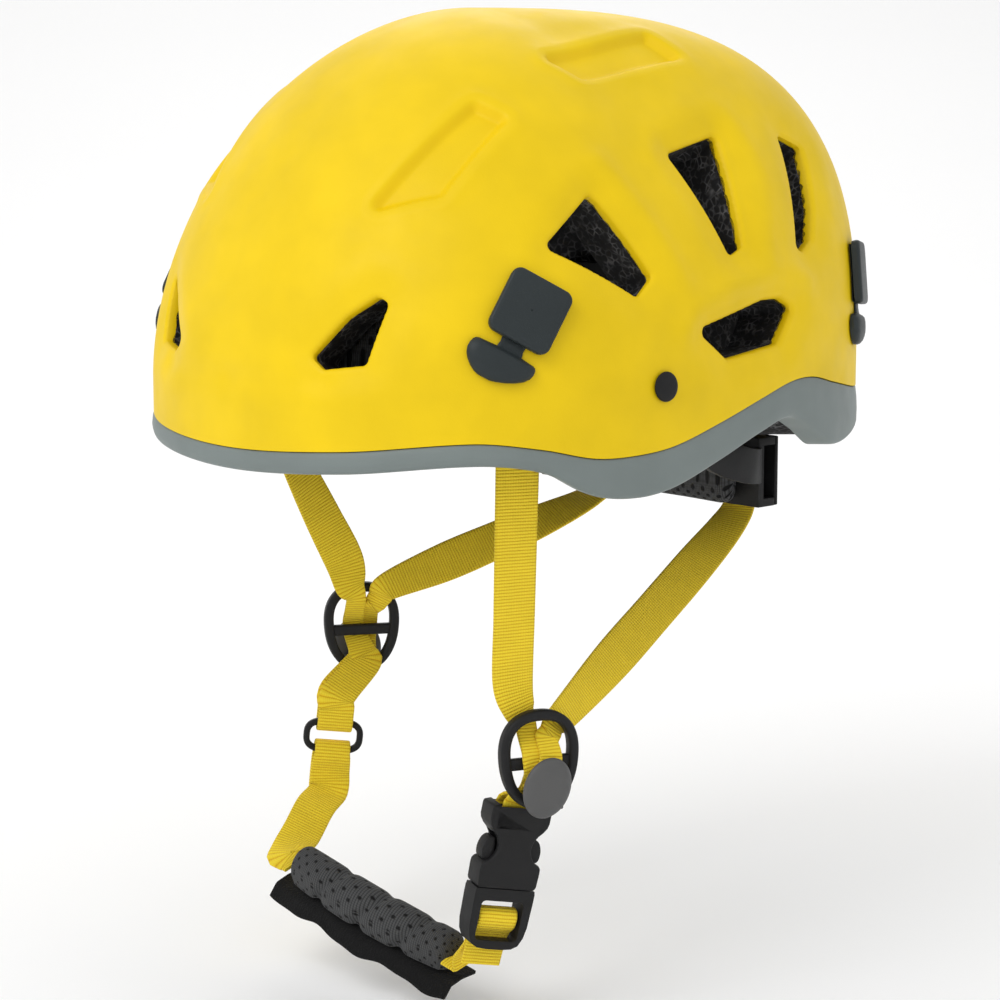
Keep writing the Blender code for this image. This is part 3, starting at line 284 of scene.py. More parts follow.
BEAD_FOAM = bead_foam()

# %% [markdown]
# ### Webbing
# Flat harness webbing has a weft rib across it about every millimetre and fine warp yarns along it.
# The UV map runs in metres: U along the strap and V across it. One wave makes the ribs, and a finer
# one at right angles the yarns, which twist slightly. Light sinks into the grooves, so they are deeper
# in colour.

# %% Webbing
RIB_PITCH = 0.00115
YARN_PITCH = 0.00062


def webbing():
    made = finish("webbing_yellow_cloth", (0.86, 0.58, 0.02), 0.80, sheen=0.05)
    where = node(made, "ShaderNodeTexCoord")
    parts = node(made, "ShaderNodeSeparateXYZ")
    link(made, where.outputs["UV"], parts.inputs["Vector"])
    wobble = maths(made, "MULTIPLY", noise(made, 220.0, 2.0, source="UV"), 0.00035)
    along = maths(made, "ADD", parts.outputs["X"], wobble)
    rib = maths(made, "ABSOLUTE", maths(made, "SINE", maths(made, "MULTIPLY", along, pi / RIB_PITCH)))
    yarn_turns = maths(made, "MULTIPLY", parts.outputs["Y"], pi / YARN_PITCH)
    yarn = maths(made, "ABSOLUTE", maths(made, "SINE", yarn_turns))
    ribs = maths(made, "POWER", rib, 0.6)
    shade = maths(made, "MULTIPLY", maths(made, "ADD", maths(made, "MULTIPLY", yarn, 0.25), 0.75), ribs)
    tint = ramp(made, shade, ((0.05, (0.74, 0.38, 0.006)), (0.45, (0.88, 0.60, 0.020)),
                              (0.95, (0.96, 0.74, 0.040))))
    worn = ramp(made, noise(made, 130.0, 4.0, source="UV"), ((0.35, 0.95), (0.65, 1.0)))
    mixed = node(made, "ShaderNodeMix", data_type="RGBA", blend_type="MULTIPLY")
    mixed.inputs["Factor"].default_value = 1.0
    link(made, tint, mixed.inputs[6])
    link(made, worn, mixed.inputs[7])
    link(made, mixed.outputs[2], shader_of(made).inputs["Base Color"])
    low = bump(made, ribs, 0.00030, 0.9)
    bump(made, yarn, 0.00012, 0.6, below=low)
    return made


WEBBING = webbing()

# %% [markdown]
# ### Pad mesh and fleece
# The pads wear a knitted mesh: rows of fine stitches with an open hole every few millimetres. The
# fleece under the chin is brushed, so it has no weave at all, only fuzz and a soft sheen.

# %% Pad mesh and fleece
HOLE_PITCH = 0.0040
STITCH_PITCH = 0.00085


def pad_mesh(name, colour, hole_share=0.27):
    """Knitted mesh with open holes; hole_share is a hole's radius as a share of their pitch."""
    made = finish(name, colour, 0.90, sheen=0.06)
    where = node(made, "ShaderNodeTexCoord")
    tiles = node(made, "ShaderNodeMapping")
    tiles.inputs["Scale"].default_value = (1 / HOLE_PITCH, 1 / HOLE_PITCH, 1)
    tiles.inputs["Rotation"].default_value = (0, 0, radians(45))
    link(made, where.outputs["UV"], tiles.inputs["Vector"])
    inside = node(made, "ShaderNodeVectorMath", operation="FRACTION")
    link(made, tiles.outputs["Vector"], inside.inputs[0])
    centred = node(made, "ShaderNodeVectorMath", operation="SUBTRACT")
    centred.inputs[1].default_value = (0.5, 0.5, 0.0)
    link(made, inside.outputs["Vector"], centred.inputs[0])
    flat = node(made, "ShaderNodeVectorMath", operation="MULTIPLY")
    flat.inputs[1].default_value = (1.0, 1.0, 0.0)
    link(made, centred.outputs["Vector"], flat.inputs[0])
    away = node(made, "ShaderNodeVectorMath", operation="LENGTH")
    link(made, flat.outputs["Vector"], away.inputs[0])
    cloth = ramp(made, away.outputs["Value"], ((hole_share - 0.06, 0.0), (hole_share + 0.06, 1.0)))
    parts = node(made, "ShaderNodeSeparateXYZ")
    link(made, where.outputs["UV"], parts.inputs["Vector"])
    row_turns = maths(made, "MULTIPLY", parts.outputs["X"], pi / STITCH_PITCH)
    rows = maths(made, "ABSOLUTE", maths(made, "SINE", row_turns))
    loop_turns = maths(made, "MULTIPLY", parts.outputs["Y"], pi / STITCH_PITCH)
    loops = maths(made, "ABSOLUTE", maths(made, "SINE", loop_turns))
    fullness = maths(made, "ADD", maths(made, "MULTIPLY", loops, 0.4), 0.6)
    knit = maths(made, "MULTIPLY", maths(made, "POWER", rows, 0.7), fullness)
    height = maths(made, "MULTIPLY", cloth, knit)
    # Painted shade and highlight: the colour follows the knit's height, so the holes and the grooves between
    # stitches are painted darker as shade and the stitch tops lighter as highlight.
    dark = tuple(c * 0.10 for c in colour)
    tint = ramp(made, height, ((0.0, dark), (0.35, tuple(c * 0.72 for c in colour)),
                               (1.0, tuple(c * 1.35 for c in colour))))
    link(made, tint, shader_of(made).inputs["Base Color"])
    low = bump(made, cloth, 0.0006, 0.9)
    bump(made, knit, 0.00018, 0.7, below=low)
    return made


def fleece():
    made = finish("fleece_black", (0.0060, 0.0060, 0.0062), 0.97, sheen=0.06)
    fuzz = noise(made, 1400.0, 6.0)
    low = bump(made, noise(made, 160.0, 4.0), 0.0008, 0.6)
    bump(made, fuzz, 0.0005, 0.9, below=low)
    return made


PAD_MESH = pad_mesh("pad_mesh_grey", (0.060, 0.061, 0.063))
CHIN_MESH = pad_mesh("chin_mesh_grey", (0.058, 0.059, 0.060), 0.17)
FLEECE = fleece()

# %% First coat on every frame piece
COAT_OF_SLOT = {"shell_yellow": SHELL_YELLOW, "band_grey": BAND_GREY, "foam_black": BEAD_FOAM,
                "clip_slate": CLIP_SLATE, "buckle_black": BUCKLE_BLACK, "webbing_yellow": WEBBING,
                "pad_grey": PAD_MESH, "lining_black": FLEECE, "cradle_black": CRADLE_BLACK}
SLOT_OF_NODE = {row["node"]: row["material_slot"] for row in frame["record"]["subparts"]}
for name, obj in frame["nodes"].items():
    obj.data.materials.clear()
    obj.data.materials.append(COAT_OF_SLOT[SLOT_OF_NODE[name]])
BODIES = frame["record"]["behaviour"]["bodies"]
BODY_OF_NODE = {name: body for body, names in BODIES.items() for name in names}
print("coated", len(SLOT_OF_NODE), "frame pieces")

# %% [markdown]
# ## The head form
# The shell, the foam and all that sits on them share one mathematical form: seen from above a rounded
# oval, shorter in front than behind, and in profile a dome that leans at the forehead and is full at
# the back. `turn` goes round from the front, and `fall` comes down from the crown. The sizes are read
# from the frame, so the fine surface lands on the plain one.

# %% Head form
shell_low, shell_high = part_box("outer_shell")
WIDEST_Z = -0.100
DOME = np.array((-shell_low.y, shell_high.y, shell_high.x, shell_high.z - WIDEST_Z))
PLAN_POWER = 2.25
BULGE_FRONT, BULGE_SIDE, BULGE_BACK = 1.79, 1.93, 3.1
LINER = np.array((89, 126, 84, 106.4)) * MM


def plan_radius(dome, turn):
    length = np.where(np.cos(turn) > 0, dome[0], dome[1])
    across = np.abs(np.cos(turn) / length) ** PLAN_POWER + np.abs(np.sin(turn) / dome[2]) ** PLAN_POWER
    return across ** (-1 / PLAN_POWER)


def bulge(turn):
    end = np.where(np.cos(turn) > 0, BULGE_FRONT, BULGE_BACK)
    return BULGE_SIDE + (end - BULGE_SIDE) * np.cos(turn) ** 2


def around(radius, turn, z):
    return np.stack(np.broadcast_arrays(radius * np.sin(turn), -radius * np.cos(turn), z), axis=-1)


def dome_point(dome, turn, fall):
    n = bulge(turn)
    reach = (np.sin(fall) / plan_radius(dome, turn)) ** n + (np.maximum(np.cos(fall), 0) / dome[3]) ** n
    reach = reach ** (-1 / n)
    return around(reach * np.sin(fall), turn, WIDEST_Z + reach * np.cos(fall))


def wall_radius(dome, turn, z):
    n = bulge(turn)
    rise = np.clip((z - WIDEST_Z) / dome[3], 0, 1)
    return plan_radius(dome, turn) * (1 - rise ** n) ** (1 / n)


def seat(turn_degrees, fall_degrees, roll_degrees=0):
    """Frame standing on the shell: x across, y up the wall, z outwards."""
    turn, fall, step = radians(turn_degrees), radians(fall_degrees), radians(0.5)
    here = Vector(dome_point(DOME, turn, fall))
    across = Vector(dome_point(DOME, turn + step, fall) - dome_point(DOME, turn - step, fall))
    upward = Vector(dome_point(DOME, turn, fall - step) - dome_point(DOME, turn, fall + step))
    out = across.cross(upward).normalized()
    across.normalize()
    stand = Matrix((across, out.cross(across), out)).transposed().to_4x4()
    return Matrix.Translation(here) @ stand @ Matrix.Rotation(radians(roll_degrees), 4, "Z")


print("dome half sizes", [round(float(v), 4) for v in DOME])

# %% [markdown]
# The rim isn't level: it dips over the ears, rises behind them and drops again at the nape. A few
# knots give the height of the colour seam and of the lower edge, and a smooth curve joins them.

# %% Rim curve
# turn from the front in degrees, height of the seam and of the edge over the widest level in mm
RIM = np.array((
    (0, -16.8, -24.2), (25, -14.6, -22.1), (48, -10.9, -18.4), (60, -13.4, -21.0),
    (70, -17.4, -29.8), (79, -17.6, -32.0), (88, -15.8, -30.2), (100, -10.0, -23.3),
    (112, -3.6, -15.8), (121, 0.5, -12.2), (128, 0.4, -17.5), (136, -3.5, -26.0),
    (150, -9.0, -25.0), (180, -11.0, -21.0)))


def rim_height(turn, column):
    """Height of the seam (column 1) or the edge (column 2) at turns in radians."""
    degrees = np.abs((np.degrees(turn) + 180) % 360 - 180)
    at = np.concatenate((-RIM[2:0:-1, 0], RIM[:, 0], 360 - RIM[-2:-4:-1, 0]))
    high = np.concatenate((RIM[2:0:-1, column], RIM[:, column], RIM[-2:-4:-1, column]))
    k = np.clip(np.searchsorted(at, degrees, side="left"), 2, len(at) - 2)
    span = at[k] - at[k - 1]
    s = (degrees - at[k - 1]) / span
    m1 = (high[k] - high[k - 2]) / (at[k] - at[k - 2]) * span
    m2 = (high[k + 1] - high[k - 1]) / (at[k + 1] - at[k - 1]) * span
    height = (2 * s**3 - 3 * s**2 + 1) * high[k - 1] + (s**3 - 2 * s**2 + s) * m1
    height = height + (3 * s**2 - 2 * s**3) * high[k] + (s**3 - s**2) * m2
    return WIDEST_Z + height * MM


# %% [markdown]
# ## Vents and recesses as distances
# Every vent and recess is a rounded outline lying on the wall. For each point of the shell we need
# its distance to that outline, negative inside. With that distance, a lip, a dish or a ridge is just
# a curve of depth against distance, and it stays smooth however fine the mesh is.

# %% Outlines on the wall
# corners on the wearer's left as (turn, fall) in degrees; the right side mirrors them
VENTS = {
    "front": ((19, 81.5), (21.5, 83.5), (29.5, 82.5), (33, 72), (31, 71), (25.5, 74.5)),
    "side": ((62.5, 62), (74.5, 52.5), (76.5, 54), (86, 67.5), (81.5, 71)),
    "middle": ((102.5, 46), (119, 46.5), (112.5, 65), (108.5, 66)),
    "rear": ((136.5, 52.5), (142, 56.5), (136.5, 64.5), (133, 68.5), (129.5, 69.5), (128, 68.5)),
    "low": ((96, 78), (115, 75), (120, 75.5), (123.5, 77.5), (118, 83), (103.5, 84)),
}
RECESSES = {
    "front": ((26, 57), (49, 35), (58, 38.5), (42, 53.5)),
    "top": ((77, 24), (134, 27.5), (130, 34), (88, 29.5)),
}


class Outline:
    """A rounded outline on the wall, in a plane square to the wall at its middle."""

    def __init__(self, corners, sign, round_mm):
        turns = np.radians([sign * c[0] for c in corners])
        falls = np.radians([c[1] for c in corners])
        places = dome_point(DOME, turns, falls)
        self.frame = seat(np.degrees(turns.mean()), np.degrees(falls.mean()))
        self.origin = np.array(self.frame.translation)
        self.axes = np.array(self.frame.to_3x3()).T
        self.round = round_mm * MM
        flat = (places - self.origin) @ self.axes[:2].T
        middle = flat.mean(axis=0)
        order = np.argsort(np.arctan2(*(flat - middle).T[::-1]))
        self.corners = self.shrunk(flat[order], self.round)

    @staticmethod
    def shrunk(points, inset):
        """The polygon moved in on all its sides."""
        made = []
        for k in range(len(points)):
            before, here, after = points[k - 1], points[k], points[(k + 1) % len(points)]
            a, b = here - before, after - here
            a, b = a / np.linalg.norm(a), b / np.linalg.norm(b)
            inner_a, inner_b = np.array((-a[1], a[0])), np.array((-b[1], b[0]))
            bisector = inner_a + inner_b
            bisector = bisector / np.linalg.norm(bisector)
            made.append(here + bisector * inset / max(bisector @ inner_a, 0.35))
        return np.array(made)

    def local(self, points):
        return (points - self.origin) @ self.axes.T

    def distance(self, points):
        """Distance along the wall to the outline, negative inside; far away on the other side."""
        here = self.local(points)
        p, corners = here[:, :2], self.corners
        best = np.full(len(p), 1e9)
        inside = np.zeros(len(p), bool)
        for k in range(len(corners)):
            a, b = corners[k], corners[(k + 1) % len(corners)]
            edge, to = b - a, p - a
            t = np.clip(to @ edge / (edge @ edge), 0, 1)
            best = np.minimum(best, ((to - t[:, None] * edge) ** 2).sum(axis=1))
            crosses = (a[1] <= p[:, 1]) != (b[1] <= p[:, 1])
            rise = edge[1] if edge[1] else 1e-12
            inside ^= crosses & (p[:, 0] < a[0] + (p[:, 1] - a[1]) / rise * edge[0])
        far = np.sqrt(best)
        signed = np.where(inside, -far, far) - self.round
        return np.where(np.abs(here[:, 2]) > 0.030, 1.0, signed)

    def ring(self, count=8):
        """The rounded outline as points in its plane."""
        points = []
        for k in range(len(self.corners)):
            before, here = self.corners[k - 1], self.corners[k]
            after = self.corners[(k + 1) % len(self.corners)]
            a, b = here - before, after - here
            start = np.arctan2(-a[0], a[1])
            end = np.arctan2(-b[0], b[1])
            turn = (end - start) % (2 * pi)
            for j in range(count + 1):
                angle = start + turn * j / count
                points.append(here + self.round * np.array((cos(angle), sin(angle))))
        return points


vent_outlines = {"%s_%s" % (name, side): Outline(corners, sign, 2.0)
                 for name, corners in VENTS.items() for side, sign in (("l", 1), ("r", -1))}
recess_outlines = {"%s_%s" % (name, side): Outline(corners, sign, 2.6)
                   for name, corners in RECESSES.items() for side, sign in (("l", 1), ("r", -1))}
print(len(vent_outlines), "vents and", len(recess_outlines), "recesses")

# %% [markdown]
# ## Relief of the shell
# Near a vent the paint rolls inwards over a small radius, from a shallow dish some millimetres wide.
# The recesses have a flat floor and soft walls. Over the low vent a brow stands proud and throws
# rain clear, and a soft crease runs under the forehead.

# %% Relief
LIP_RADIUS = 2.2 * MM
DISH_WIDTH, DISH_DEPTH = 12 * MM, 2.0 * MM
RECESS_DEPTH = 3.0 * MM
# ridges as (turn, fall) stations, height in mm, half width in mm
RIDGES = (
    (((91, 77.5), (97, 73.5), (107, 71), (118, 71), (127, 74)), 2.0, 5.0),
    (((56, 69), (60, 61), (68, 52), (77, 47)), 0.8, 6.0),
    (((79, 47), (88, 60), (93, 70)), 1.3, 5.0),
    (((96, 45), (100, 42), (112, 41), (124, 43), (124, 56), (117, 68)), 0.9, 5.0),
    (((0, 86.5), (10, 86.5), (22, 85.8)), -0.7, 4.0),
)


def smooth(x):
    x = np.clip(x, 0, 1)
    return x * x * (3 - 2 * x)


def ridge_height(points, stations, sign):
    """Closeness, from 0 to 1, to a smooth line through (turn, fall) stations."""
    fine = np.linspace(0, len(stations) - 1, 12 * len(stations))
    turns = np.interp(fine, range(len(stations)), [sign * s[0] for s in stations])
    falls = np.interp(fine, range(len(stations)), [s[1] for s in stations])
    line = dome_point(DOME, np.radians(turns), np.radians(falls))
    gap = np.full(len(points), 1e9)
    for a, b in zip(line[:-1], line[1:]):
        edge, to = b - a, points - a
        t = np.clip(to @ edge / (edge @ edge), 0, 1)
        gap = np.minimum(gap, ((to - t[:, None] * edge) ** 2).sum(axis=1))
    return np.sqrt(gap)


def relief(points):
    """How far each point of the smooth shell moves out along its normal."""
    out = np.zeros(len(points))
    for stations, height, width in RIDGES:
        for sign in (1, -1):
            gap = ridge_height(points, stations, sign)
            out += height * MM * np.exp(-(gap / (width * MM)) ** 2)
    for outline in recess_outlines.values():
        gap = outline.distance(points)
        out -= RECESS_DEPTH * smooth((1.6 * MM - gap) / (4.2 * MM))
        out += 0.45 * MM * np.exp(-((gap - 4.0 * MM) / (2.4 * MM)) ** 2)
    for outline in vent_outlines.values():
        gap = outline.distance(points)
        out -= DISH_DEPTH * smooth(1 - gap / DISH_WIDTH)
        into = np.clip(LIP_RADIUS - gap, 0, LIP_RADIUS)
        out -= LIP_RADIUS - np.sqrt(np.maximum(LIP_RADIUS ** 2 - into ** 2, 0))
        out -= np.clip(-gap, 0, 1.0 * MM) * 1.5
    return out


def nearest_edge(points):
    """Distance to the nearest vent or recess edge."""
    gaps = [np.abs(o.distance(points)) for o in (*vent_outlines.values(), *recess_outlines.values())]
    return np.min(gaps, axis=0)


# %% [markdown]
# ## Modelling helpers
# An operator acts on everything that is selected, so `only` selects one object first. `points_of` and
# `move_points` read and write all vertices at once, which is how a primitive is shaped by a formula.
# `dressed` names a finished piece, gives it its material and its body, and hides the frame pieces that it
# stands for.

# %% Helpers
def only(obj):
    bpy.ops.object.select_all(action="DESELECT")
    obj.select_set(True)
    bpy.context.view_layer.objects.active = obj
    return obj


def points_of(obj):
    flat = np.empty(len(obj.data.vertices) * 3)
    obj.data.vertices.foreach_get("co", flat)
    return flat.reshape(-1, 3)


def move_points(obj, points):
    obj.data.vertices.foreach_set("co", np.asarray(points, dtype=np.float64).ravel())
    obj.data.update()


def place(obj, matrix):
    """Moves the points themselves, so that the object stays at the origin."""
    obj.data.transform(matrix)
    obj.data.update()


def tidy_mesh(obj, merge=1e-6, outward=True):
    only(obj)
    bpy.ops.object.mode_set(mode="EDIT")
    bpy.ops.mesh.select_all(action="SELECT")
    bpy.ops.mesh.remove_doubles(threshold=merge)
    if outward:
        bpy.ops.mesh.normals_make_consistent(inside=False)
    bpy.ops.object.mode_set(mode="OBJECT")


def modify(obj, kind, **values):
    """Adds a modifier and applies it."""
    step = obj.modifiers.new(kind.lower(), kind)
    for key, value in values.items():
        setattr(step, key, value)
    only(obj)
    bpy.ops.object.modifier_apply(modifier=step.name)


def shade(obj, degrees=32):
    only(obj)
    bpy.ops.object.shade_smooth_by_angle(angle=radians(degrees))


def dressed(obj, name, coat, body, *stands_for):
    obj.name = name
    obj.data.name = name
    obj.data.materials.clear()
    obj.data.materials.append(coat)
    if body:
        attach(obj, body)
    if stands_for:
        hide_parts(*stands_for)
    print(name, len(obj.data.polygons), "faces")
    return obj


def join(first, *others):
    bpy.ops.object.select_all(action="DESELECT")
    for obj in (first, *others):
        obj.select_set(True)
    bpy.context.view_layer.objects.active = first
    bpy.ops.object.join()
    return first


def shaped_grid(columns, rows, formula, uv_size=(1.0, 1.0)):
    """A flat grid primitive moved onto a surface: formula(u, v) gives points for u and v from 0 to 1."""
    bpy.ops.object.select_all(action="DESELECT")
    bpy.ops.mesh.primitive_grid_add(x_subdivisions=columns, y_subdivisions=rows, size=1, calc_uvs=True)
    obj = bpy.context.active_object
    flat = points_of(obj)
    move_points(obj, formula(flat[:, 0] + 0.5, flat[:, 1] + 0.5))
    layer = obj.data.uv_layers.active.data
    coordinates = np.empty(len(layer) * 2)
    layer.foreach_get("uv", coordinates)
    layer.foreach_set("uv", (coordinates.reshape(-1, 2) * uv_size).ravel())
    tidy_mesh(obj)
    bpy.ops.object.shade_smooth()
    return obj


# %% [markdown]
# ## Outer shell
# A sphere primitive is cut below its equator, its faces near every vent and recess are subdivided so
# that the lips come out crisp, and then each vertex is moved onto the head form with the relief added.
# Solidify gives it a wall, and one Boolean with all the vent cutters opens it.

# %% Vent cutters
def vent_cutter(outline, low=-46 * MM, high=12 * MM):
    """A prism through the wall with the vent's rounded outline."""
    ring = outline.ring()
    bpy.ops.object.select_all(action="DESELECT")
    bpy.ops.mesh.primitive_cylinder_add(vertices=len(ring), radius=1, depth=2, end_fill_type="NGON")
    prism = bpy.context.active_object
    flat = points_of(prism)
    corner = np.arange(len(flat)) // 2
    levels = np.where(flat[:, 2] > 0, high, low)
    flat[:, :2] = np.array(ring)[corner]
    flat[:, 2] = levels
    move_points(prism, flat)
    place(prism, outline.frame)
    tidy_mesh(prism)
    return prism


cutters = [vent_cutter(outline) for outline in vent_outlines.values()]
vent_tool = join(*cutters)
vent_tool.name = "vent_tool"
print("vent tool", len(vent_tool.data.vertices), "points")

# %% Shell surface
FOOT_FALL = radians(86)
LAST_RING = radians(100)


def on_shell(turn, dip, dome, foot):
    """Point on a dome; past 86 degrees the rings run straight down to the foot's height."""
    upper = dome_point(dome, turn, np.minimum(dip, FOOT_FALL))
    start = upper[..., 2]
    share = np.clip((dip - FOOT_FALL) / (LAST_RING - FOOT_FALL), 0, 1)
    z = start + (foot - start) * share
    return np.where((dip > FOOT_FALL)[..., None], around(wall_radius(dome, turn, z), turn, z), upper)


def half_sphere(segments, rings):
    """A unit sphere cut below its equator, with its angles round and down."""
    bpy.ops.object.select_all(action="DESELECT")
    bpy.ops.mesh.primitive_uv_sphere_add(segments=segments, ring_count=rings, radius=1, calc_uvs=False)
    ball = bpy.context.active_object
    bpy.ops.object.mode_set(mode="EDIT")
    bpy.ops.mesh.select_all(action="SELECT")
    bpy.ops.mesh.bisect(plane_co=(0, 0, cos(LAST_RING)), plane_no=(0, 0, 1), clear_inner=True)
    bpy.ops.object.mode_set(mode="OBJECT")
    return ball


def angles(obj):
    p = points_of(obj)
    return np.arctan2(p[:, 0], -p[:, 1]), np.arctan2(np.hypot(p[:, 0], p[:, 1]), p[:, 2])


def refine_near_edges(ball, reach):
    """Subdivides the faces of the sphere whose place on the shell is near an edge."""
    centres = np.array([f.center.normalized() for f in ball.data.polygons])
    turn = np.arctan2(centres[:, 0], -centres[:, 1])
    dip = np.arctan2(np.hypot(centres[:, 0], centres[:, 1]), centres[:, 2])
    near = nearest_edge(on_shell(turn, dip, DOME, rim_height(turn, 1))) < reach
    only(ball)
    ball.data.polygons.foreach_set("select", near)
    ball.data.update()
    bpy.ops.object.mode_set(mode="EDIT")
    bpy.ops.mesh.select_mode(type="FACE")
    bpy.ops.mesh.subdivide(number_cuts=1)
    bpy.ops.object.mode_set(mode="OBJECT")
    return int(near.sum())


def outward_normals(turn, dip, dome, foot):
    """Unit normals of the smooth dome, from two short steps on it."""
    step = 1e-4
    dip = np.clip(dip, 2e-3, LAST_RING - 2e-3)
    across = on_shell(turn + step, dip, dome, foot) - on_shell(turn - step, dip, dome, foot)
    down = on_shell(turn, dip + step, dome, foot) - on_shell(turn, dip - step, dome, foot)
    out = np.cross(down, across)
    return out / np.linalg.norm(out, axis=1)[:, None]


SHELL_PAINT_WALL = 1.4 * MM
ball = half_sphere(216, 144)
print("refined", refine_near_edges(ball, 5.0 * MM), refine_near_edges(ball, 3.2 * MM), "faces")
turn, dip = angles(ball)
seam = rim_height(turn, 1) + 0.3 * MM
surface = on_shell(turn, dip, DOME, seam)
normals = outward_normals(turn, dip, DOME, seam)
move_points(ball, surface + normals * relief(surface)[:, None])
tidy_mesh(ball)
modify(ball, "SOLIDIFY", thickness=SHELL_PAINT_WALL, offset=-1)
modify(ball, "BOOLEAN", object=vent_tool, operation="DIFFERENCE")
shade(ball, 40)
dressed(ball, "painted_shell", SHELL_YELLOW, "helmet", "outer_shell")

# %% [markdown]
# ## Foam liner
# The foam fills the space between the shell and the head. Its outside carries the same relief, a
# little deeper, so that it backs the paint all over, and the same tool cuts its vents: the walls that
# show inside each vent are foam.

# %% Foam
FOAM_UNDER_SHELL = 2.6 * MM
FLANGE_WALL = 1.6 * MM
foam_dome = DOME - FOAM_UNDER_SHELL


FOAM_FOOT = FLANGE_WALL + 0.8 * MM
FOAM_ROWS = 96


def foam_skin(u, v):
    """From the crown down the outside, under the foot and up the inside to the crown again."""
    turn = 2 * pi * u
    outside = v < 0.5
    share = np.where(outside, v / 0.5, (1 - v) / 0.5)
    dip = LAST_RING * share
    foot = rim_height(turn, 2) + FOAM_FOOT
    outer = on_shell(turn, dip, foam_dome, foot)
    rise = relief(on_shell(turn, dip, DOME, foot))
    outer = outer + outward_normals(turn, dip, foam_dome, foot) * rise[:, None]
    return np.where(outside[:, None], outer, on_shell(turn, dip, LINER, foot))


foam = shaped_grid(300, 2 * FOAM_ROWS + 1, foam_skin)
modify(foam, "BOOLEAN", object=vent_tool, operation="DIFFERENCE")
shade(foam, 40)
dressed(foam, "bead_foam_liner", BEAD_FOAM, "helmet", "foam_liner")
bpy.data.objects.remove(vent_tool)

# %% [markdown]
# ## Lower shell
# One closed strip runs round the rim. Its section starts at the seam, comes down with a slight swell,
# turns under in a small radius and ends in the flange that holds the foam. A narrow step at the seam
# leaves the dark shadow line between the two colours.

# %% Lower shell
FLANGE = 10 * MM
SEAM_STEP = 0.5 * MM


def rim_section(seam, edge):
    """(depth, height) pairs round the strip's section, for arrays of seam and edge heights."""
    tall = seam - edge
    rows = [(2.3 * MM, seam), (SEAM_STEP, seam), (0.1 * MM, seam - 0.5 * MM),
            (-0.35 * MM, seam - 0.25 * tall),
            (-0.6 * MM, seam - 0.55 * tall), (-0.5 * MM, edge + 2.6 * MM)]
    for k in range(7):
        angle = pi / 2 * k / 6
        rows.append((2.1 * MM - 2.4 * MM * cos(angle), edge + 2.1 * MM - 2.1 * MM * sin(angle)))
    rows += [(6 * MM, edge), (FLANGE - 0.5 * MM, edge), (FLANGE, edge + 0.5 * MM),
             (FLANGE, edge + FLANGE_WALL - 0.4 * MM), (FLANGE - 0.4 * MM, edge + FLANGE_WALL),
             (3.2 * MM, edge + FLANGE_WALL), (2.3 * MM, edge + FLANGE_WALL + 0.8 * MM), (2.3 * MM, seam)]
    return rows


def rim_surface(u, v):
    turn = 2 * pi * u
    rows = rim_section(rim_height(turn, 1), rim_height(turn, 2))
    row = np.clip(np.round(v * (len(rows) - 1)).astype(int), 0, len(rows) - 1)
    depth = np.choose(row, [np.broadcast_to(r[0], turn.shape) for r in rows])
    z = np.choose(row, [np.broadcast_to(r[1], turn.shape) for r in rows])
    return around(wall_radius(DOME, turn, z) - depth, turn, z)


rim = shaped_grid(360, len(rim_section(0.0, 0.0)) - 1, rim_surface)
shade(rim, 35)
dressed(rim, "rim_shell", BAND_GREY, "helmet", "lower_shell")

# %% [markdown]
# ## Moulded shapes
# Most hard pieces are an outline with some thickness and softened edges. `prism` reshapes a cylinder
# primitive into such a block, `soften` bevels its edges, and `cut` is a Boolean.

# %% Outlines and blocks
def rounded_box(half_x, half_y, radius, steps=7):
    points = []
    for corner, (sx, sy) in enumerate(((1, 1), (-1, 1), (-1, -1), (1, -1))):
        for k in range(steps):
            angle = (corner + k / (steps - 1)) * pi / 2
            points.append((sx * (half_x - radius) + radius * cos(angle),
                           sy * (half_y - radius) + radius * sin(angle)))
    return points


def oval(half_x, half_y, count=72, power=2.0, drop=0.0, lean=0.0):
    """Oval or egg: drop widens its lower half, lean moves its lower half sideways."""
    points = []
    for k in range(count):
        angle = 2 * pi * k / count
        x = half_x * abs(cos(angle)) ** (2 / power) * (1 if cos(angle) > 0 else -1)
        y = half_y * abs(sin(angle)) ** (2 / power) * (1 if sin(angle) > 0 else -1)
        points.append((x * (1 - drop * y / half_y) + lean * y / half_y, y))
    return points


def flowing(points, steps=6):
    """Closed smooth curve through corner points."""
    points = [np.array(p, dtype=float) for p in points]
    made = []
    for k in range(len(points)):
        p0, p1, p2, p3 = (points[(k + j) % len(points)] for j in (-1, 0, 1, 2))
        for j in range(steps):
            s = j / steps
            made.append(0.5 * (2 * p1 + (p2 - p0) * s + (2 * p0 - 5 * p1 + 4 * p2 - p3) * s**2
                               + (3 * p1 - p0 - 3 * p2 + p3) * s**3))
    return made


def prism(outline, low, high, stand=Matrix.Identity(4)):
    """Outline raised from low to high along the stand's z."""
    bpy.ops.object.select_all(action="DESELECT")
    bpy.ops.mesh.primitive_cylinder_add(vertices=len(outline), radius=1, depth=2, end_fill_type="NGON")
    obj = bpy.context.active_object
    flat = points_of(obj)
    corner = np.arange(len(flat)) // 2
    levels = np.where(flat[:, 2] > 0, high, low)
    flat[:, :2] = np.array([tuple(p) for p in outline])[corner]
    flat[:, 2] = levels
    move_points(obj, flat)
    place(obj, stand)
    tidy_mesh(obj)
    return obj


def slab(low, high, stand=Matrix.Identity(4)):
    """Box between two corners, in mm."""
    bpy.ops.object.select_all(action="DESELECT")
    bpy.ops.mesh.primitive_cube_add(size=1)
    obj = bpy.context.active_object
    low, high = np.array(low, dtype=float) * MM, np.array(high, dtype=float) * MM
    move_points(obj, low + (points_of(obj) + 0.5) * (high - low))
    place(obj, stand)
    return obj


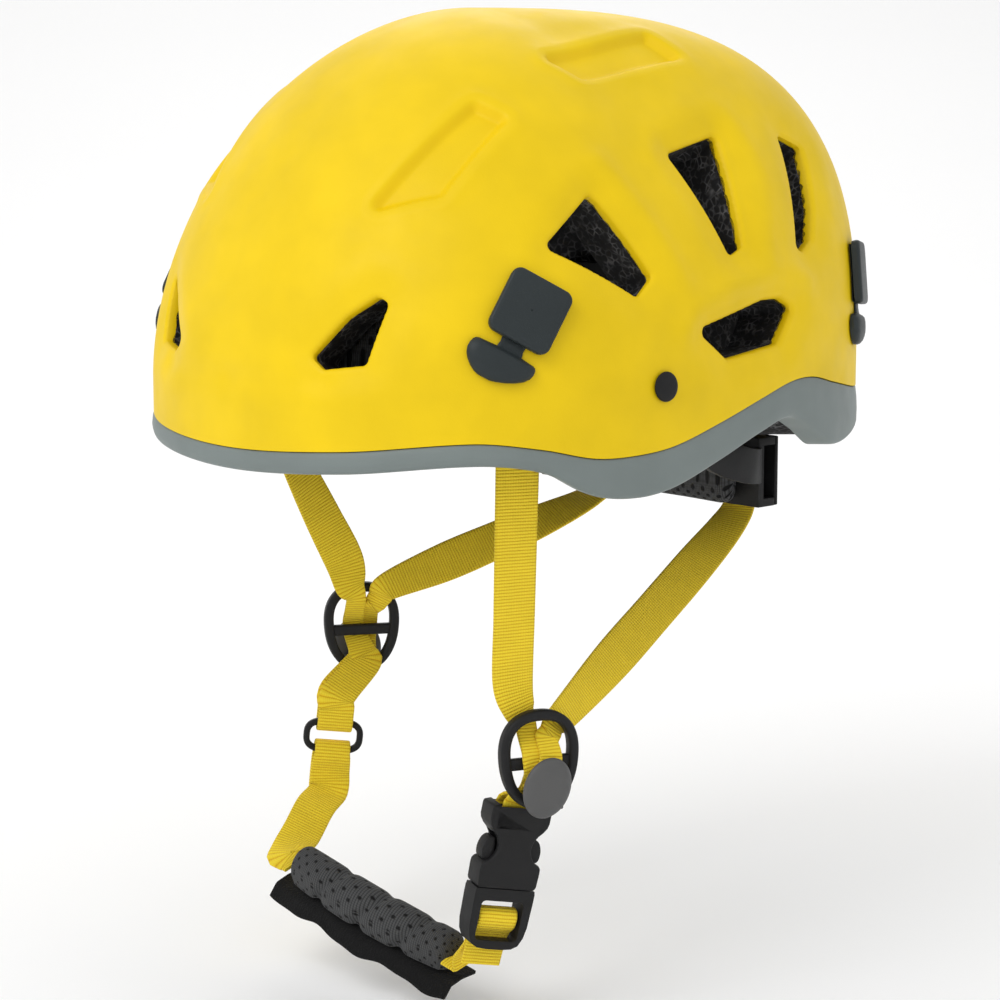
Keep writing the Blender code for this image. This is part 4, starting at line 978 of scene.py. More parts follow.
def rod(radius, length, stand, count=32):
    """Round bar along the stand's z, centred on it."""
    bpy.ops.object.select_all(action="DESELECT")
    bpy.ops.mesh.primitive_cylinder_add(vertices=count, radius=radius, depth=length)
    obj = bpy.context.active_object
    place(obj, stand)
    return obj


def soften(obj, width, segments=3, degrees=28):
    modify(obj, "BEVEL", width=width, segments=segments, limit_method="ANGLE",
           angle_limit=radians(degrees), use_clamp_overlap=True, harden_normals=False)
    shade(obj, 38)
    return obj


def cut(obj, *tools):
    for tool in tools:
        modify(obj, "BOOLEAN", object=tool, operation="DIFFERENCE")
        bpy.data.objects.remove(tool)
    return obj


def turned(profile, stand, count=64):
    """Round piece: a cylinder primitive's rings moved onto (radius, height) pairs."""
    rings = len(profile)

    def formula(u, v):
        row = np.clip(np.round(v * (rings - 1)).astype(int), 0, rings - 1)
        radius = np.array([r for r, _ in profile])[row]
        height = np.array([h for _, h in profile])[row]
        angle = 2 * pi * u
        return np.stack((radius * np.cos(angle), radius * np.sin(angle), height), axis=-1)

    obj = shaped_grid(count, rings - 1, formula)
    place(obj, stand)
    return obj


# %% [markdown]
# ## Lamp clips and side plugs
# Each clip is a softly rounded square pad, sprung from the shell at its top edge, above a half-moon
# foot that its lamp strap hooks behind. The pad's back follows the shell. The plugs are shallow domes.

# %% Clips
def shell_under(stand, u, v, lift):
    """Points on the shell under (u, v) of a seat, raised by lift."""
    matrix = np.array(stand)
    spot = matrix[:3, 3] + u[:, None] * matrix[:3, 0] + v[:, None] * matrix[:3, 1]
    rise = spot - np.array((0, 0, WIDEST_Z))
    turn = np.arctan2(rise[:, 0], -rise[:, 1])
    dip = np.minimum(np.arctan2(np.hypot(rise[:, 0], rise[:, 1]), rise[:, 2]), FOOT_FALL + 0.06)
    here = dome_point(DOME, turn, dip)
    step = 1e-4
    across = dome_point(DOME, turn + step, dip) - here
    down = dome_point(DOME, turn, dip + step) - here
    out = np.cross(down, across)
    out = out / np.linalg.norm(out, axis=1)[:, None]
    return here + out * lift[:, None]


PAD_HALF = (11.2 * MM, 11.6 * MM)
CLIPS = {"front": (58, 73.5, -29), "rear": (149, 77, -12)}


def clip_pad(stand):
    """Rounded square: its back follows the shell, its face is flat and softly rolled over."""
    outline = np.array(rounded_box(*PAD_HALF, 3.4 * MM, 9))
    # share of the outline's size and height; heights under 2 mm follow the shell
    rows = ((0.02, 1.25), (0.5, 1.25), (0.93, 1.25), (0.985, 1.5), (1.0, 2.2), (1.0, 2.6), (0.988, 3.1),
            (0.962, 3.5), (0.925, 3.72), (0.80, 3.86), (0.6, 3.92), (0.02, 3.95))
    count = len(outline)

    def formula(u, v):
        row = np.clip(np.round(v * (len(rows) - 1)).astype(int), 0, len(rows) - 1)
        spot = outline[np.round(u * count).astype(int) % count]
        share = np.array([r[0] for r in rows])[row]
        height = np.array([r[1] for r in rows])[row] * MM
        flat = spot * share[:, None]
        back = shell_under(stand, flat[:, 0], flat[:, 1], height)
        matrix = np.array(stand)
        face = matrix[:3, 3] + flat[:, :1] * matrix[:3, 0] + flat[:, 1:] * matrix[:3, 1]
        face = face + height[:, None] * matrix[:3, 2]
        return np.where((height < 2.0 * MM)[:, None], back, face)

    obj = shaped_grid(count, len(rows) - 1, formula)
    shade(obj, 42)
    return obj


def clip_foot(stand, sign):
    """Plate, neck and half-moon foot lying on the shell."""
    # height on the wall, left edge, right edge and thickness in mm
    rows = ((10.4, -8.4, 8.4, 0.5), (0, -9, 9, 0.5), (-10.8, -9, 9, 0.5), (-11.2, -4.4, 4.4, 0.6),
            (-13, -4.2, 4.2, 0.7), (-14.9, -4.6, 4.6, 1.0), (-15.3, -11.0, 9.3, 1.4),
            (-15.7, -12.0, 10.0, 2.2),
            (-16.5, -12.7, 10.4, 2.9), (-18.0, -13.2, 10.5, 3.2), (-19.8, -13.3, 10.0, 3.3),
            (-21.6, -12.7, 8.6, 3.3),
            (-23.3, -11.5, 6.3, 3.1), (-24.9, -9.7, 3.2, 2.7), (-26.0, -7.8, 0.3, 2.0),
            (-26.5, -6.2, -1.6, 1.2))
    across = (0.0, 0.06, 0.16, 0.34, 0.5, 0.66, 0.84, 0.94, 1.0)
    crest = (0.45, 0.82, 0.97, 1.0, 1.0, 1.0, 0.97, 0.82, 0.45)
    around_count = 2 * len(across)

    def formula(u, v):
        row = np.clip(np.round(v * (len(rows) - 1)).astype(int), 0, len(rows) - 1)
        k = np.round(u * around_count).astype(int) % around_count
        upper = k < len(across)
        column = np.where(upper, k, around_count - 1 - k)
        share = np.array(across)[column]
        table = np.array(rows)[row]
        x = sign * (table[:, 1] + (table[:, 2] - table[:, 1]) * share) * MM
        thick = table[:, 3] * np.array(crest)[column] * MM
        lift = 0.35 * MM + np.where(upper, thick, 0)
        return shell_under(stand, x, table[:, 0] * MM, lift)

    obj = shaped_grid(around_count, len(rows) - 1, formula)
    only(obj)
    bpy.ops.object.mode_set(mode="EDIT")
    bpy.ops.mesh.select_all(action="SELECT")
    bpy.ops.mesh.fill_holes(sides=0)
    bpy.ops.mesh.normals_make_consistent(inside=False)
    bpy.ops.object.mode_set(mode="OBJECT")
    shade(obj, 45)
    return obj


for end, (turn_at, fall_at, roll_at) in CLIPS.items():
    for side, sign in (("l", 1), ("r", -1)):
        stand = seat(sign * turn_at, fall_at, sign * roll_at)
        name = "clip_pad_%s_%s" % (end, side)
        dressed(clip_pad(stand), name + "_fine", CLIP_SLATE, name, name)
        foot = "clip_base_%s_%s" % (end, side)
        dressed(clip_foot(stand, sign), foot + "_fine", CLIP_SLATE, "helmet", foot)

# %% Side plugs
for side, sign in (("l", 1), ("r", -1)):
    stand = seat(sign * 85, 87.4)
    profile = ((2.8, -12), (2.8, 0.45), (4.7, 0.45), (5.05, 0.7), (5.1, 1.0), (4.95, 1.35), (4.5, 1.6),
               (3.6, 1.75), (2.0, 1.85), (0.001, 1.9))
    plug = turned([(r * MM, h * MM) for r, h in profile], stand, 48)
    dressed(plug, "plug_" + side, CRADLE_BLACK, "helmet", "side_plug_" + side)

# %% [markdown]
# ## Webbing
# `Route` is a smooth path through stations; each has a point, the direction of its width, and how much
# of the full width shows where the webbing bunches up. `strip` sweeps a rounded section along part of
# it. The stations stay a little apart, because tight folds would make the section cross itself.

# %% Webbing tools
WEB_WIDTH = 15 * MM
WEB_THICK = 1.4 * MM
WEB_STEP = 1.2 * MM


class Route:
    def __init__(self, stations, per_span=12):
        stations = [s if len(s) == 3 else (*s, 1.0) for s in stations]
        points = np.array([tuple(s[0]) for s in stations])
        wides = [np.array(tuple(s[1])) / np.linalg.norm(tuple(s[1])) for s in stations]
        for k in range(1, len(wides)):
            if wides[k] @ wides[k - 1] < 0:
                wides[k] = -wides[k]
        shares = np.array([[s[2]] for s in stations])
        path = self.through(points, per_span)
        wide = self.through(np.array(wides), per_span)
        share = self.through(shares, per_span)
        length = np.concatenate(([0], np.cumsum(np.linalg.norm(np.diff(path, axis=0), axis=1))))
        count = max(int(length[-1] / WEB_STEP), 2)
        self.at = np.linspace(0, length[-1], count + 1)

        def even(rows):
            return np.stack([np.interp(self.at, length, column) for column in rows.T], axis=1)

        self.path, wide, self.share = even(path), even(wide), even(share)[:, 0]
        along = np.gradient(self.path, axis=0)
        along = along / np.linalg.norm(along, axis=1)[:, None]
        side = wide - along * (wide * along).sum(axis=1)[:, None]
        for _ in range(2):
            side[1:-1] = (side[:-2] + side[1:-1] * 2 + side[2:]) / 4
            side = side - along * (side * along).sum(axis=1)[:, None]
        self.side = side / np.linalg.norm(side, axis=1)[:, None]
        self.face = np.cross(along, self.side)

    @staticmethod
    def through(rows, per_span):
        padded = np.concatenate(([2 * rows[0] - rows[1]], rows, [2 * rows[-1] - rows[-2]]))
        s = np.arange(per_span)[:, None] / per_span
        made = []
        for p0, p1, p2, p3 in zip(padded, padded[1:], padded[2:], padded[3:]):
            made.append(0.5 * (2 * p1 + (p2 - p0) * s + (2 * p0 - 5 * p1 + 4 * p2 - p3) * s**2
                               + (3 * p1 - p0 - 3 * p2 + p3) * s**3))
        return np.concatenate((*made, rows[-1:]))


def web_section(width, thick):
    """Round-edged flat section as (across, up) pairs, closed."""
    flat = width / 2 - thick / 2
    points = [(flat * (1 - 2 * k / 8), thick / 2) for k in range(9)]
    points += [(-flat - thick / 2 * sin(pi * k / 6), thick / 2 * cos(pi * k / 6)) for k in range(1, 6)]
    points += [(-flat * (1 - 2 * k / 8), -thick / 2) for k in range(9)]
    points += [(flat + thick / 2 * sin(pi * k / 6), -thick / 2 * cos(pi * k / 6)) for k in range(1, 6)]
    return np.array(points)


def strip(route, start=0, stop=None, width=WEB_WIDTH, thick=WEB_THICK, curl=0.0):
    """Webbing along the stations of a route from row start to row stop."""
    stop = len(route.at) - 1 if stop is None else stop
    section = web_section(width, thick)
    count, rows = len(section), stop - start

    def formula(u, v):
        row = start + np.round(u * rows).astype(int)
        k = np.round(v * count).astype(int) % count
        x, up = section[k, 0] * route.share[row], section[k, 1]
        up = up + curl * MM * (x / (width / 2)) ** 2
        return route.path[row] + x[:, None] * route.side[row] + up[:, None] * route.face[row]

    reach = float(route.at[stop] - route.at[start])
    obj = shaped_grid(rows, count, formula, uv_size=(reach, 2 * (width + thick)))
    only(obj)
    bpy.ops.object.mode_set(mode="EDIT")
    bpy.ops.mesh.select_all(action="SELECT")
    bpy.ops.mesh.fill_holes(sides=0)
    bpy.ops.mesh.normals_make_consistent(inside=False)
    bpy.ops.object.mode_set(mode="OBJECT")
    shade(obj, 50)
    return obj


def upright(centre, facing_degrees, tilt=(0, 0)):
    """Stand of an upright piece: x to the back, y up, z the way it faces."""
    facing = radians(facing_degrees)
    out = Vector((sin(facing), -cos(facing), 0))
    across = Vector((cos(facing), sin(facing), 0))
    stand = Matrix((across, Vector((0, 0, 1)), out)).transposed().to_4x4()
    lean = Matrix.Rotation(radians(tilt[0]), 4, "Z") @ Matrix.Rotation(radians(tilt[1]), 4, "X")
    return Matrix.Translation(centre) @ stand @ lean


DIVIDERS = {"l": upright(Vector((70, -32, -225.5)) * MM, 70),
            "r": upright(Vector((-70, 7.5, -205)) * MM, -120)}
BUCKLE = upright(DIVIDERS["l"] @ Vector((-4 * MM, -17 * MM, -8 * MM)), 72, (-11, 4))
RING = upright(Vector((-66, -10.5, -244.5)) * MM, -125, (6, 0))
PAD_RIGHT_END = Vector((-45, -45, -283)) * MM
PAD_LEFT_END = Vector((35, -38, -302)) * MM
print("dividers, buckle and ring stand ready")

# %% [markdown]
# ### Harness
# On each side one length of webbing comes down from the front anchor, goes through the divider, round
# the bar below, back up through the divider, and away to the nape cradle and the rear anchor.

# %% Harness webbing
def anchor_run(turn_degrees, levels):
    """Stations up the foam's inside at one turn; levels are (height, depth) in mm."""
    turn = np.radians(turn_degrees)
    wide = (float(np.cos(turn)), float(np.sin(turn)), 0)
    run = []
    for z, depth in levels:
        radius = wall_radius(LINER, turn, z * MM) - depth * MM
        run.append((tuple(around(radius, turn, z * MM)), wide))
    return run, Vector(wide)


def through_divider(stand, lean, layer):
    """Stations from above a divider to below it: behind its top, over the bar, behind its foot."""
    column = 2 if layer == "inner" else 1
    across = stand.col[0].to_3d()
    # height, depth of the outer and the inner layer, sideways share, share of the width
    route = ((27, -3.2, -5.0, 7.5, 1.0), (17, -3.2, -5.0, 5.2, 0.8), (12.6, -3.1, -4.9, 3.0, 0.54),
             (8.0, -0.6, -2.5, 2.9, 0.52), (3.2, 3.3, 1.6, 2.9, 0.54), (0.8, 4.3, 2.5, 2.8, 0.56),
             (-3.2, 4.2, 2.5, 2.0, 0.6), (-6.5, 1.7, -0.1, 1.0, 0.66), (-9.8, -1.5, -3.3, 0, 0.75),
             (-12.8, -4.0, -6.2, 0, 0.85))
    return [(stand @ (Vector((lean * row[3], row[0], row[column])) * MM), across, row[4]) for row in route]


# front webbing inside the foam: height in mm and turn
FRONT_RUN = {"l": ((-94.6, 58.5), (-103, 58.5), (-112, 58.5), (-121, 58.5)),
             "r": ((-94.6, 58.5), (-103, 60.5), (-112, 65), (-121, 70))}
# how the rear webbing leaves a divider: place in mm, direction of the width, share of the width
LEAVING = {"l": ((4.6, 8.0, -1.0, (0.32, 0.88, -0.30), 0.56), (7.4, 11.4, -3.4, (0.24, 0.68, -0.65), 0.62),
                 (13.0, 13.8, -6.4, (0.30, 0.42, -0.85), 0.78)),
           "r": ((-4.4, 8.0, -1.2, (-0.46, -0.80, 0.35), 0.56),
                 (-6.6, 12.2, -3.9, (-0.40, -0.66, 0.62), 0.62),
                 (-9.8, 16.6, -5.9, (-0.40, -0.50, 0.78), 0.74))}
# the rear webbing's run to the cradle: share of the way, sag in mm, direction of the width
TO_CRADLE = {"l": ((0.25, -0.8, (0.50, 0.24, -0.81)), (0.50, -1.4, (0.58, 0.18, -0.78)),
                   (0.72, -1.6, (0.76, 0.20, -0.60)), (0.92, -1.0, (0.96, 0.20, -0.22))),
             "r": ((0.25, -0.8, (-0.42, -0.26, 0.86)), (0.50, -1.4, (-0.56, -0.02, 0.82)),
                   (0.72, -1.6, (-0.78, 0.15, 0.60)), (0.92, -1.0, (-0.96, 0.22, 0.25)))}


def harness_route(side, sign, stand, bar_stand, bar_y, bar_z, bar_r, lead):
    across = stand.col[0].to_3d()
    front = []
    for z, degrees in FRONT_RUN[side]:
        stations, tangent = anchor_run(degrees * sign, ((z, 2.9),))
        front += stations
    down = through_divider(stand, -sign, "inner")
    up = through_divider(stand, sign, "outer")[3:][::-1]
    toward = across if across.dot(tangent) > 0 else -across
    top = Vector(front[-1][0])
    middle = [(top.lerp(down[0][0], s), tangent.lerp(toward, s)) for s in (0.35, 0.7)]
    reach = bar_r + 0.3 * MM + WEB_THICK / 2
    axis = bar_stand.col[0].to_3d()
    loop = [(bar_stand @ Vector((0, bar_y + lift * MM, bar_z - reach)), axis, 0.9) for lift in lead]
    for degrees in (180, 225, 270, 315, 360):
        angle = radians(degrees)
        around_bar = Vector((0, bar_y + reach * sin(angle), bar_z + reach * cos(angle)))
        loop.append((bar_stand @ around_bar, axis, 0.9))
    loop += [(bar_stand @ Vector((0, bar_y + lift * MM, bar_z + reach)), axis, 0.9) for lift in lead[::-1]]
    low = Vector((sign * 36, 105.8, -157)) * MM
    up += [(stand @ (Vector((x, y, z)) * MM), wide, share) for x, y, z, wide, share in LEAVING[side]]
    lift_off = up[-1][0]
    rear = [(lift_off.lerp(low, share) + Vector((0, 0, sag * MM)), wide)
            for share, sag, wide in TO_CRADLE[side]]
    flat = (sign, 0, 0)
    rear += [(low + Vector((0, 0.4 * MM, 3 * MM)), flat), (Vector((sign * 37, 106.2, -142)) * MM, flat),
             (Vector((sign * 39, 106.2, -126)) * MM, flat)]
    rear += anchor_run(157 * sign, ((-108, 6.6), (-92, 6.0), (-80.8, 6.0)))[0]
    return Route(front + middle + down + loop + up + rear)


for side, sign, bar_stand, bar_y, bar_z, bar_r, lead in (
        ("l", 1, BUCKLE, -2.8 * MM, -1.0 * MM, 1.9 * MM, (3,)),
        ("r", -1, RING, 5.7 * MM, 0.0, 2.3 * MM, (11, 6, 2.8))):
    route = harness_route(side, sign, DIVIDERS[side], bar_stand, bar_y, bar_z, bar_r, lead)
    height = route.path[:, 2]
    behind = np.flatnonzero(route.path[:, 1] > 0.104)
    parting = int(behind[0] + np.argmin(np.abs(height[behind] + 0.150)))
    front_strap = strip(route, 0, parting)
    dressed(front_strap, "front_webbing_" + side, WEBBING, None, "harness_strap_" + side)
    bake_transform(front_strap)
    rear_strap = strip(route, parting - 1)
    dressed(rear_strap, "rear_webbing_" + side, WEBBING, None, "harness_strap_" + side)
    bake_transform(rear_strap)

# %% [markdown]
# ### Chin webbing
# The right stretch folds round the ring and is stitched to itself; the left one is threaded through
# the plug half of the buckle, over its bar, and its free end lies back along it.

# %% Chin webbing
run = (PAD_LEFT_END - PAD_RIGHT_END).normalized()
flat = Vector((0.1, 0.95, 0.3))
axis = RING.col[0].to_3d()
reach = 2.4 * MM + 0.3 * MM + WEB_THICK / 2
fold = [(RING @ Vector((0, -5.7 * MM + reach * sin(radians(a)), reach * cos(radians(a)))), axis, 0.9)
        for a in (0, 45, 90, 135, 180)]
end = PAD_RIGHT_END - run * 2.8 * MM
tail = [(RING @ Vector((0, -20 * MM, 0.0)), axis), (RING @ Vector((0, -14 * MM, 0.8 * MM)), axis),
        (RING @ Vector((0, -8.7 * MM, reach)), axis, 0.95)]
down = [(RING @ Vector((0, -8.7 * MM, -reach)), axis, 0.95), (RING @ Vector((0, -14 * MM, -1.6 * MM)), axis),
        (RING @ Vector((0, -21 * MM, -2.2 * MM)), axis),
        (Vector((-62, -23, -269.5)) * MM, (-0.63, -0.71, 0.30)),
        (Vector((-57.5, -34, -277.5)) * MM, (-0.38, -0.88, 0.10)), (end - run * 4 * MM, -flat), (end, -flat),
        (end + run * 3 * MM, -flat)]
right_web = strip(Route(tail + fold + down))
dressed(right_web, "chin_webbing_r", WEBBING, "helmet", "chin_strap_r")

axis = BUCKLE.col[0].to_3d()
start = PAD_LEFT_END + run * 1.8 * MM
places = ((0, -53.0, -4.4), (0, -49.5, -4.0), (0, -45.0, -3.4), (0, -41.7, -2.9), (0, -39.2, -1.9),
          (0, -38.3, 0.2), (0, -39.3, 2.2), (0, -41.7, 2.8), (0, -44.3, 2.0), (0, -46.6, -0.3),
          (0, -49.5, -1.9), (0, -53.5, -2.7), (0, -60.0, -3.2))
threaded = [(BUCKLE @ (Vector(p) * MM), axis) for p in places]
first = threaded[0][0]
lead = [(start - run * 3 * MM, flat), (start, flat),
        (start + run * 2 * MM, flat), (start + run * 4 * MM, flat),
        (start.lerp(first, 0.4), flat * 0.8 + axis * 0.2),
        (start.lerp(first, 0.75), flat * 0.35 + axis * 0.65)]
left_web = strip(Route(lead + threaded))
dressed(left_web, "chin_webbing_l", WEBBING, None, "chin_strap_l")
travel = BUCKLE.col[1].to_3d()
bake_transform(left_web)

# %% Stitch bar
for height in (-13.2, -15.0):
    stitch = slab((-6.4, height - 0.35, reach / MM - 1.7), (6.4, height + 0.35, reach / MM - 0.35), RING)
    soften(stitch, 0.2 * MM, 2)
    dressed(stitch, "stitch_%d" % abs(height), WEBBING, "helmet")

# %% [markdown]
# ## Dividers, levers and ring
# A divider is an egg-shaped ring with a crossbar. Its lever is a low oval dome on two cheeks, which
# presses the webbing onto the bar. The ring below the right divider joins harness and chin webbing.

# %% Dividers and levers
for side, stand in DIVIDERS.items():
    body = prism(oval(14.5 * MM, 17.5 * MM, 96, 2.25, -0.10), -2.4 * MM, 2.4 * MM, stand)
    cut(body, prism(oval(10.8 * MM, 13.7 * MM, 96, 2.5, -0.12), -5 * MM, 5 * MM, stand))
    soften(body, 1.3 * MM, 4)
    bar = slab((-12.2, -3.2, -1.5), (12.2, 1.0, 1.5), stand)
    soften(bar, 0.9 * MM, 4)
    dressed(join(body, bar), "divider_fine_" + side, BUCKLE_BLACK, "helmet", "divider_" + side)

    tilt = stand @ Matrix.Translation((0, -8.5 * MM, 0)) @ Matrix.Rotation(radians(-22), 4, "Z")
    bpy.ops.object.select_all(action="DESELECT")
    bpy.ops.mesh.primitive_uv_sphere_add(segments=64, ring_count=32, radius=1)
    cap = bpy.context.active_object
    ball = points_of(cap)
    dome = np.where(ball[:, 2] > 0, ball[:, 2] * 2.9, ball[:, 2] * 1.2) * MM
    spread = np.hypot(ball[:, 0], ball[:, 1])[:, None] ** 0.8
    ball[:, :2] = ball[:, :2] * (8.7 * MM, 10.8 * MM) * np.maximum(spread, 1e-6) ** -0.2
    ball[:, 2] = 7.5 * MM + dome
    move_points(cap, ball)
    place(cap, tilt)
    bpy.ops.object.shade_smooth()
    pieces = []
    for x0 in (-6.0, 4.2):
        cheek = slab((x0, -16.4, 3.0), (x0 + 1.8, -12.0, 8.2), stand)
        soften(cheek, 0.7 * MM, 3)
        pieces.append(cheek)
    lever = "divider_lever_" + side
    dressed(join(cap, *pieces), "lever_fine_" + side, CAP_GREY, lever, lever)

# %% Ring
ring = prism(oval(11.4 * MM, 7.0 * MM, 96, 2.8), -1.6 * MM, 1.6 * MM, RING)
cut(ring, prism(oval(9.0 * MM, 4.4 * MM, 96, 3.4), -4 * MM, 4 * MM, RING))
soften(ring, 1.0 * MM, 4)
dressed(ring, "strap_ring_fine", BUCKLE_BLACK, "helmet", "strap_ring")

# %% [markdown]
# ## Side-release buckle
# The socket is a flat box with a waist on both sides, where the plug's two prongs show and can be
# squeezed. The plug has a shoulder, a middle tongue and a frame that the chin webbing threads. Every
# edge is rolled over, since both halves are moulded.

# %% Buckle
socket_half = [(11.3, -0.6), (11.5, -1.6), (11.5, -5.6), (11.1, -7.2),
               (9.8, -9.0), (8.3, -10.4), (7.1, -12.2),
               (6.5, -14.2), (6.5, -16.0), (7.2, -18.2), (8.6, -19.9),
               (10.6, -20.9), (11.5, -21.9), (11.6, -24.0),
               (11.4, -28.6), (11.0, -29.7), (10.2, -30.0)]
outline = [(x * MM, y * MM) for x, y in socket_half[::-1]] + [(8.9 * MM, 0.0), (-8.9 * MM, 0.0)]
outline += [(-x * MM, y * MM) for x, y in socket_half]
socket = prism(outline, -4.75 * MM, 4.75 * MM, BUCKLE)
cut(socket, slab((-8.2, -7.9, -9), (8.2, 3, 9), BUCKLE))
soften(socket, 1.1 * MM, 4, 34)
cut(socket, slab((-9.2, -34, -2.9), (9.2, -10.5, 2.9), BUCKLE))
soften(socket, 0.25 * MM, 2, 40)
cross = BUCKLE @ Matrix.Translation((0, -2.8 * MM, -1.0 * MM)) @ Matrix.Rotation(pi / 2, 4, "Y")
dressed(join(socket, rod(1.6 * MM, 18.6 * MM, cross)), "socket_fine", BUCKLE_BLACK, "helmet", "buckle_socket")

plug_half = [(11.2, -30.25), (11.5, -31.6), (11.5, -34.0), (11.2, -43.6),
             (10.5, -47.4), (9.0, -50.4), (6.6, -51.7),
             (3.0, -52.1)]
outline = [(x * MM, y * MM) for x, y in plug_half[::-1]] + [(-x * MM, y * MM) for x, y in plug_half]
plug = prism(outline, -4.4 * MM, 4.4 * MM, BUCKLE)
window = [(x, y - 41.8 * MM) for x, y in rounded_box(8.2 * MM, 7.2 * MM, 1.6 * MM, 6)]
cut(plug, prism(window, -9 * MM, 9 * MM, BUCKLE),
    slab((-8.2, -55, -9), (8.2, -48, -0.3), BUCKLE))
soften(plug, 0.9 * MM, 4, 34)
bar = slab((-9.4, -43.2, -1.4), (9.4, -40.2, 1.6), BUCKLE)
soften(bar, 0.7 * MM, 3)
tongue = slab((-2.2, -31.5, -2.2), (2.2, -13, 2.2), BUCKLE)
soften(tongue, 0.5 * MM, 2)
dressed(join(plug, bar, tongue), "plug_fine", BUCKLE_BLACK, "buckle_plug", "buckle_plug")

prong_points = ((6.2, -30.0), (8.6, -30.0), (8.9, -24.5), (9.0, -21.2),
                (10.7, -20.1), (11.3, -18.3), (11.2, -15.9),
                (10.2, -13.4), (8.5, -12.2), (7.4, -12.9), (6.9, -15.5), (6.5, -22.0))
for name, sign in (("front", -1), ("rear", 1)):
    outline = [(sign * x * MM, y * MM) for x, y in flowing(prong_points, 5)]
    prong = prism(outline, -2.6 * MM, 2.6 * MM, BUCKLE)
    soften(prong, 0.8 * MM, 3)
    dressed(prong, "prong_fine_" + name, BUCKLE_BLACK, "buckle_prong_" + name, "buckle_prong_" + name)

# %% [markdown]
# ## Chin pad
# A soft roll of mesh over foam. Slanting seams pull it in, so that it swells into cushions between
# them, and a piped edge runs along its underside. The fleece below it is a single wavy layer.

# %% Chin pad
span = PAD_LEFT_END - PAD_RIGHT_END
along = span.normalized()
forward = Vector((0, -1, 0))
forward = (forward - along * forward.dot(along)).normalized()
upward = forward.cross(along).normalized()
upward = -upward if upward.z < 0 else upward
SEAMS = (0.27, 0.53, 0.78)


def pad_spine(s):
    """Points along the roll's middle."""
    bow = 3.0 * MM * np.sin(pi * s)
    return np.array(PAD_RIGHT_END) + s[:, None] * np.array(span) + bow[:, None] * np.array(forward)


def chin_roll(u, v):
    angle = 2 * pi * v
    share = 0.5 - 0.5 * np.cos(pi * u)
    end_round = np.clip(np.minimum(share, 1 - share) / 0.05, 0, 1)
    swell = (0.84 + 0.18 * np.sin(pi * share) ** 0.5) * np.sqrt(1 - (1 - end_round) ** 2)
    groove = np.zeros(len(u))
    for seam in SEAMS:
        slant = seam + 0.055 * np.sin(angle - 0.2)
        groove = np.maximum(groove, np.exp(-((share - slant) * 86 / 2.6) ** 2))
    front_side = np.clip(np.cos(angle) * 0.5 + 0.75, 0, 1)
    swell = swell * (1 - 0.20 * groove * front_side)
    pipe = 0.6 * MM * np.exp(-((angle - radians(305)) / radians(7)) ** 2) * end_round
    depth = np.cos(angle) * (7.4 * MM * swell + pipe)
    tall = np.sin(angle) * (8.4 * MM * swell + pipe)
    return pad_spine(share) + depth[:, None] * np.array(forward) + tall[:, None] * np.array(upward)


roll = shaped_grid(220, 96, chin_roll, uv_size=(0.086, 0.052))
dressed(roll, "chin_roll", CHIN_MESH, "helmet", "chin_pad")


def fleece_flap(u, v):
    """Fleece that starts under the roll's back and hangs past its front."""
    share = -0.06 + 1.10 * u
    wave = 0.9 * np.sin(2 * pi * (share * 2.3 + 0.1)) + 0.3 * np.sin(2 * pi * (share * 5.1 + 0.4))
    drop = np.interp(v, (0, 0.35, 0.7, 1.0), (8.6, 8.9, 10.5, 15.2)) + wave * np.clip(v - 0.3, 0, 1) * 1.3
    depth = np.interp(v, (0, 0.35, 0.7, 1.0), (-8.0, -1.0, 4.2, 6.8)) + wave * 0.5 * v
    past_end = (share - np.clip(share, 0, 1)) * span.length
    spine = pad_spine(np.clip(share, 0, 1)) + past_end[:, None] * np.array(along)
    return spine - drop[:, None] * MM * np.array(upward) + depth[:, None] * MM * np.array(forward)


flap = shaped_grid(150, 36, fleece_flap)
modify(flap, "SOLIDIFY", thickness=1.5 * MM, offset=-1)
soften(flap, 0.4 * MM, 2, 40)
dressed(flap, "chin_fleece", FLEECE, "helmet", "chin_pad_lining")

# %% [markdown]
# ## Pads inside
# The brow pad follows the foam's inside in one long strip. It is thicker between its stitch lines. The
# small side pads, the crown pad and the nape pad are made the same way.

# %% Wall pads
def wall_pad(turn_low, turn_high, z_low, z_high, depth_near, depth_far, seams=()):
    """Padded strip on the foam's inside; seams are shares of its length where it's stitched down."""
    rows = 40

    def formula(u, v):
        turn = np.radians(turn_low + (turn_high - turn_low) * u)
        angle = 2 * pi * v
        up = np.sign(np.sin(angle)) * np.abs(np.sin(angle)) ** 0.45
        out = np.sign(np.cos(angle)) * np.abs(np.cos(angle)) ** 0.7
        ends = np.clip(np.minimum(u, 1 - u) / 0.035, 0, 1)
        ends = np.sqrt(1 - (1 - ends) ** 2)
        tuck = np.ones(len(u))
        for seam in seams:
            tuck = tuck - 0.5 * np.exp(-((u - seam) / 0.010) ** 2)
        z = (z_low + z_high) / 2 + (z_high - z_low) / 2 * up * (0.55 + 0.45 * ends)
        middle, half = (depth_near + depth_far) / 2, (depth_far - depth_near) / 2
        depth = middle + half * np.where(out > 0, out * tuck, out) * ends
        return around(wall_radius(LINER, turn, z) - depth, turn, z)

    length = radians(abs(turn_high - turn_low)) * 0.088
    return shaped_grid(max(int(abs(turn_high - turn_low) * 1.6), 16), rows, formula,
                       uv_size=(length, 2 * (z_high - z_low)))


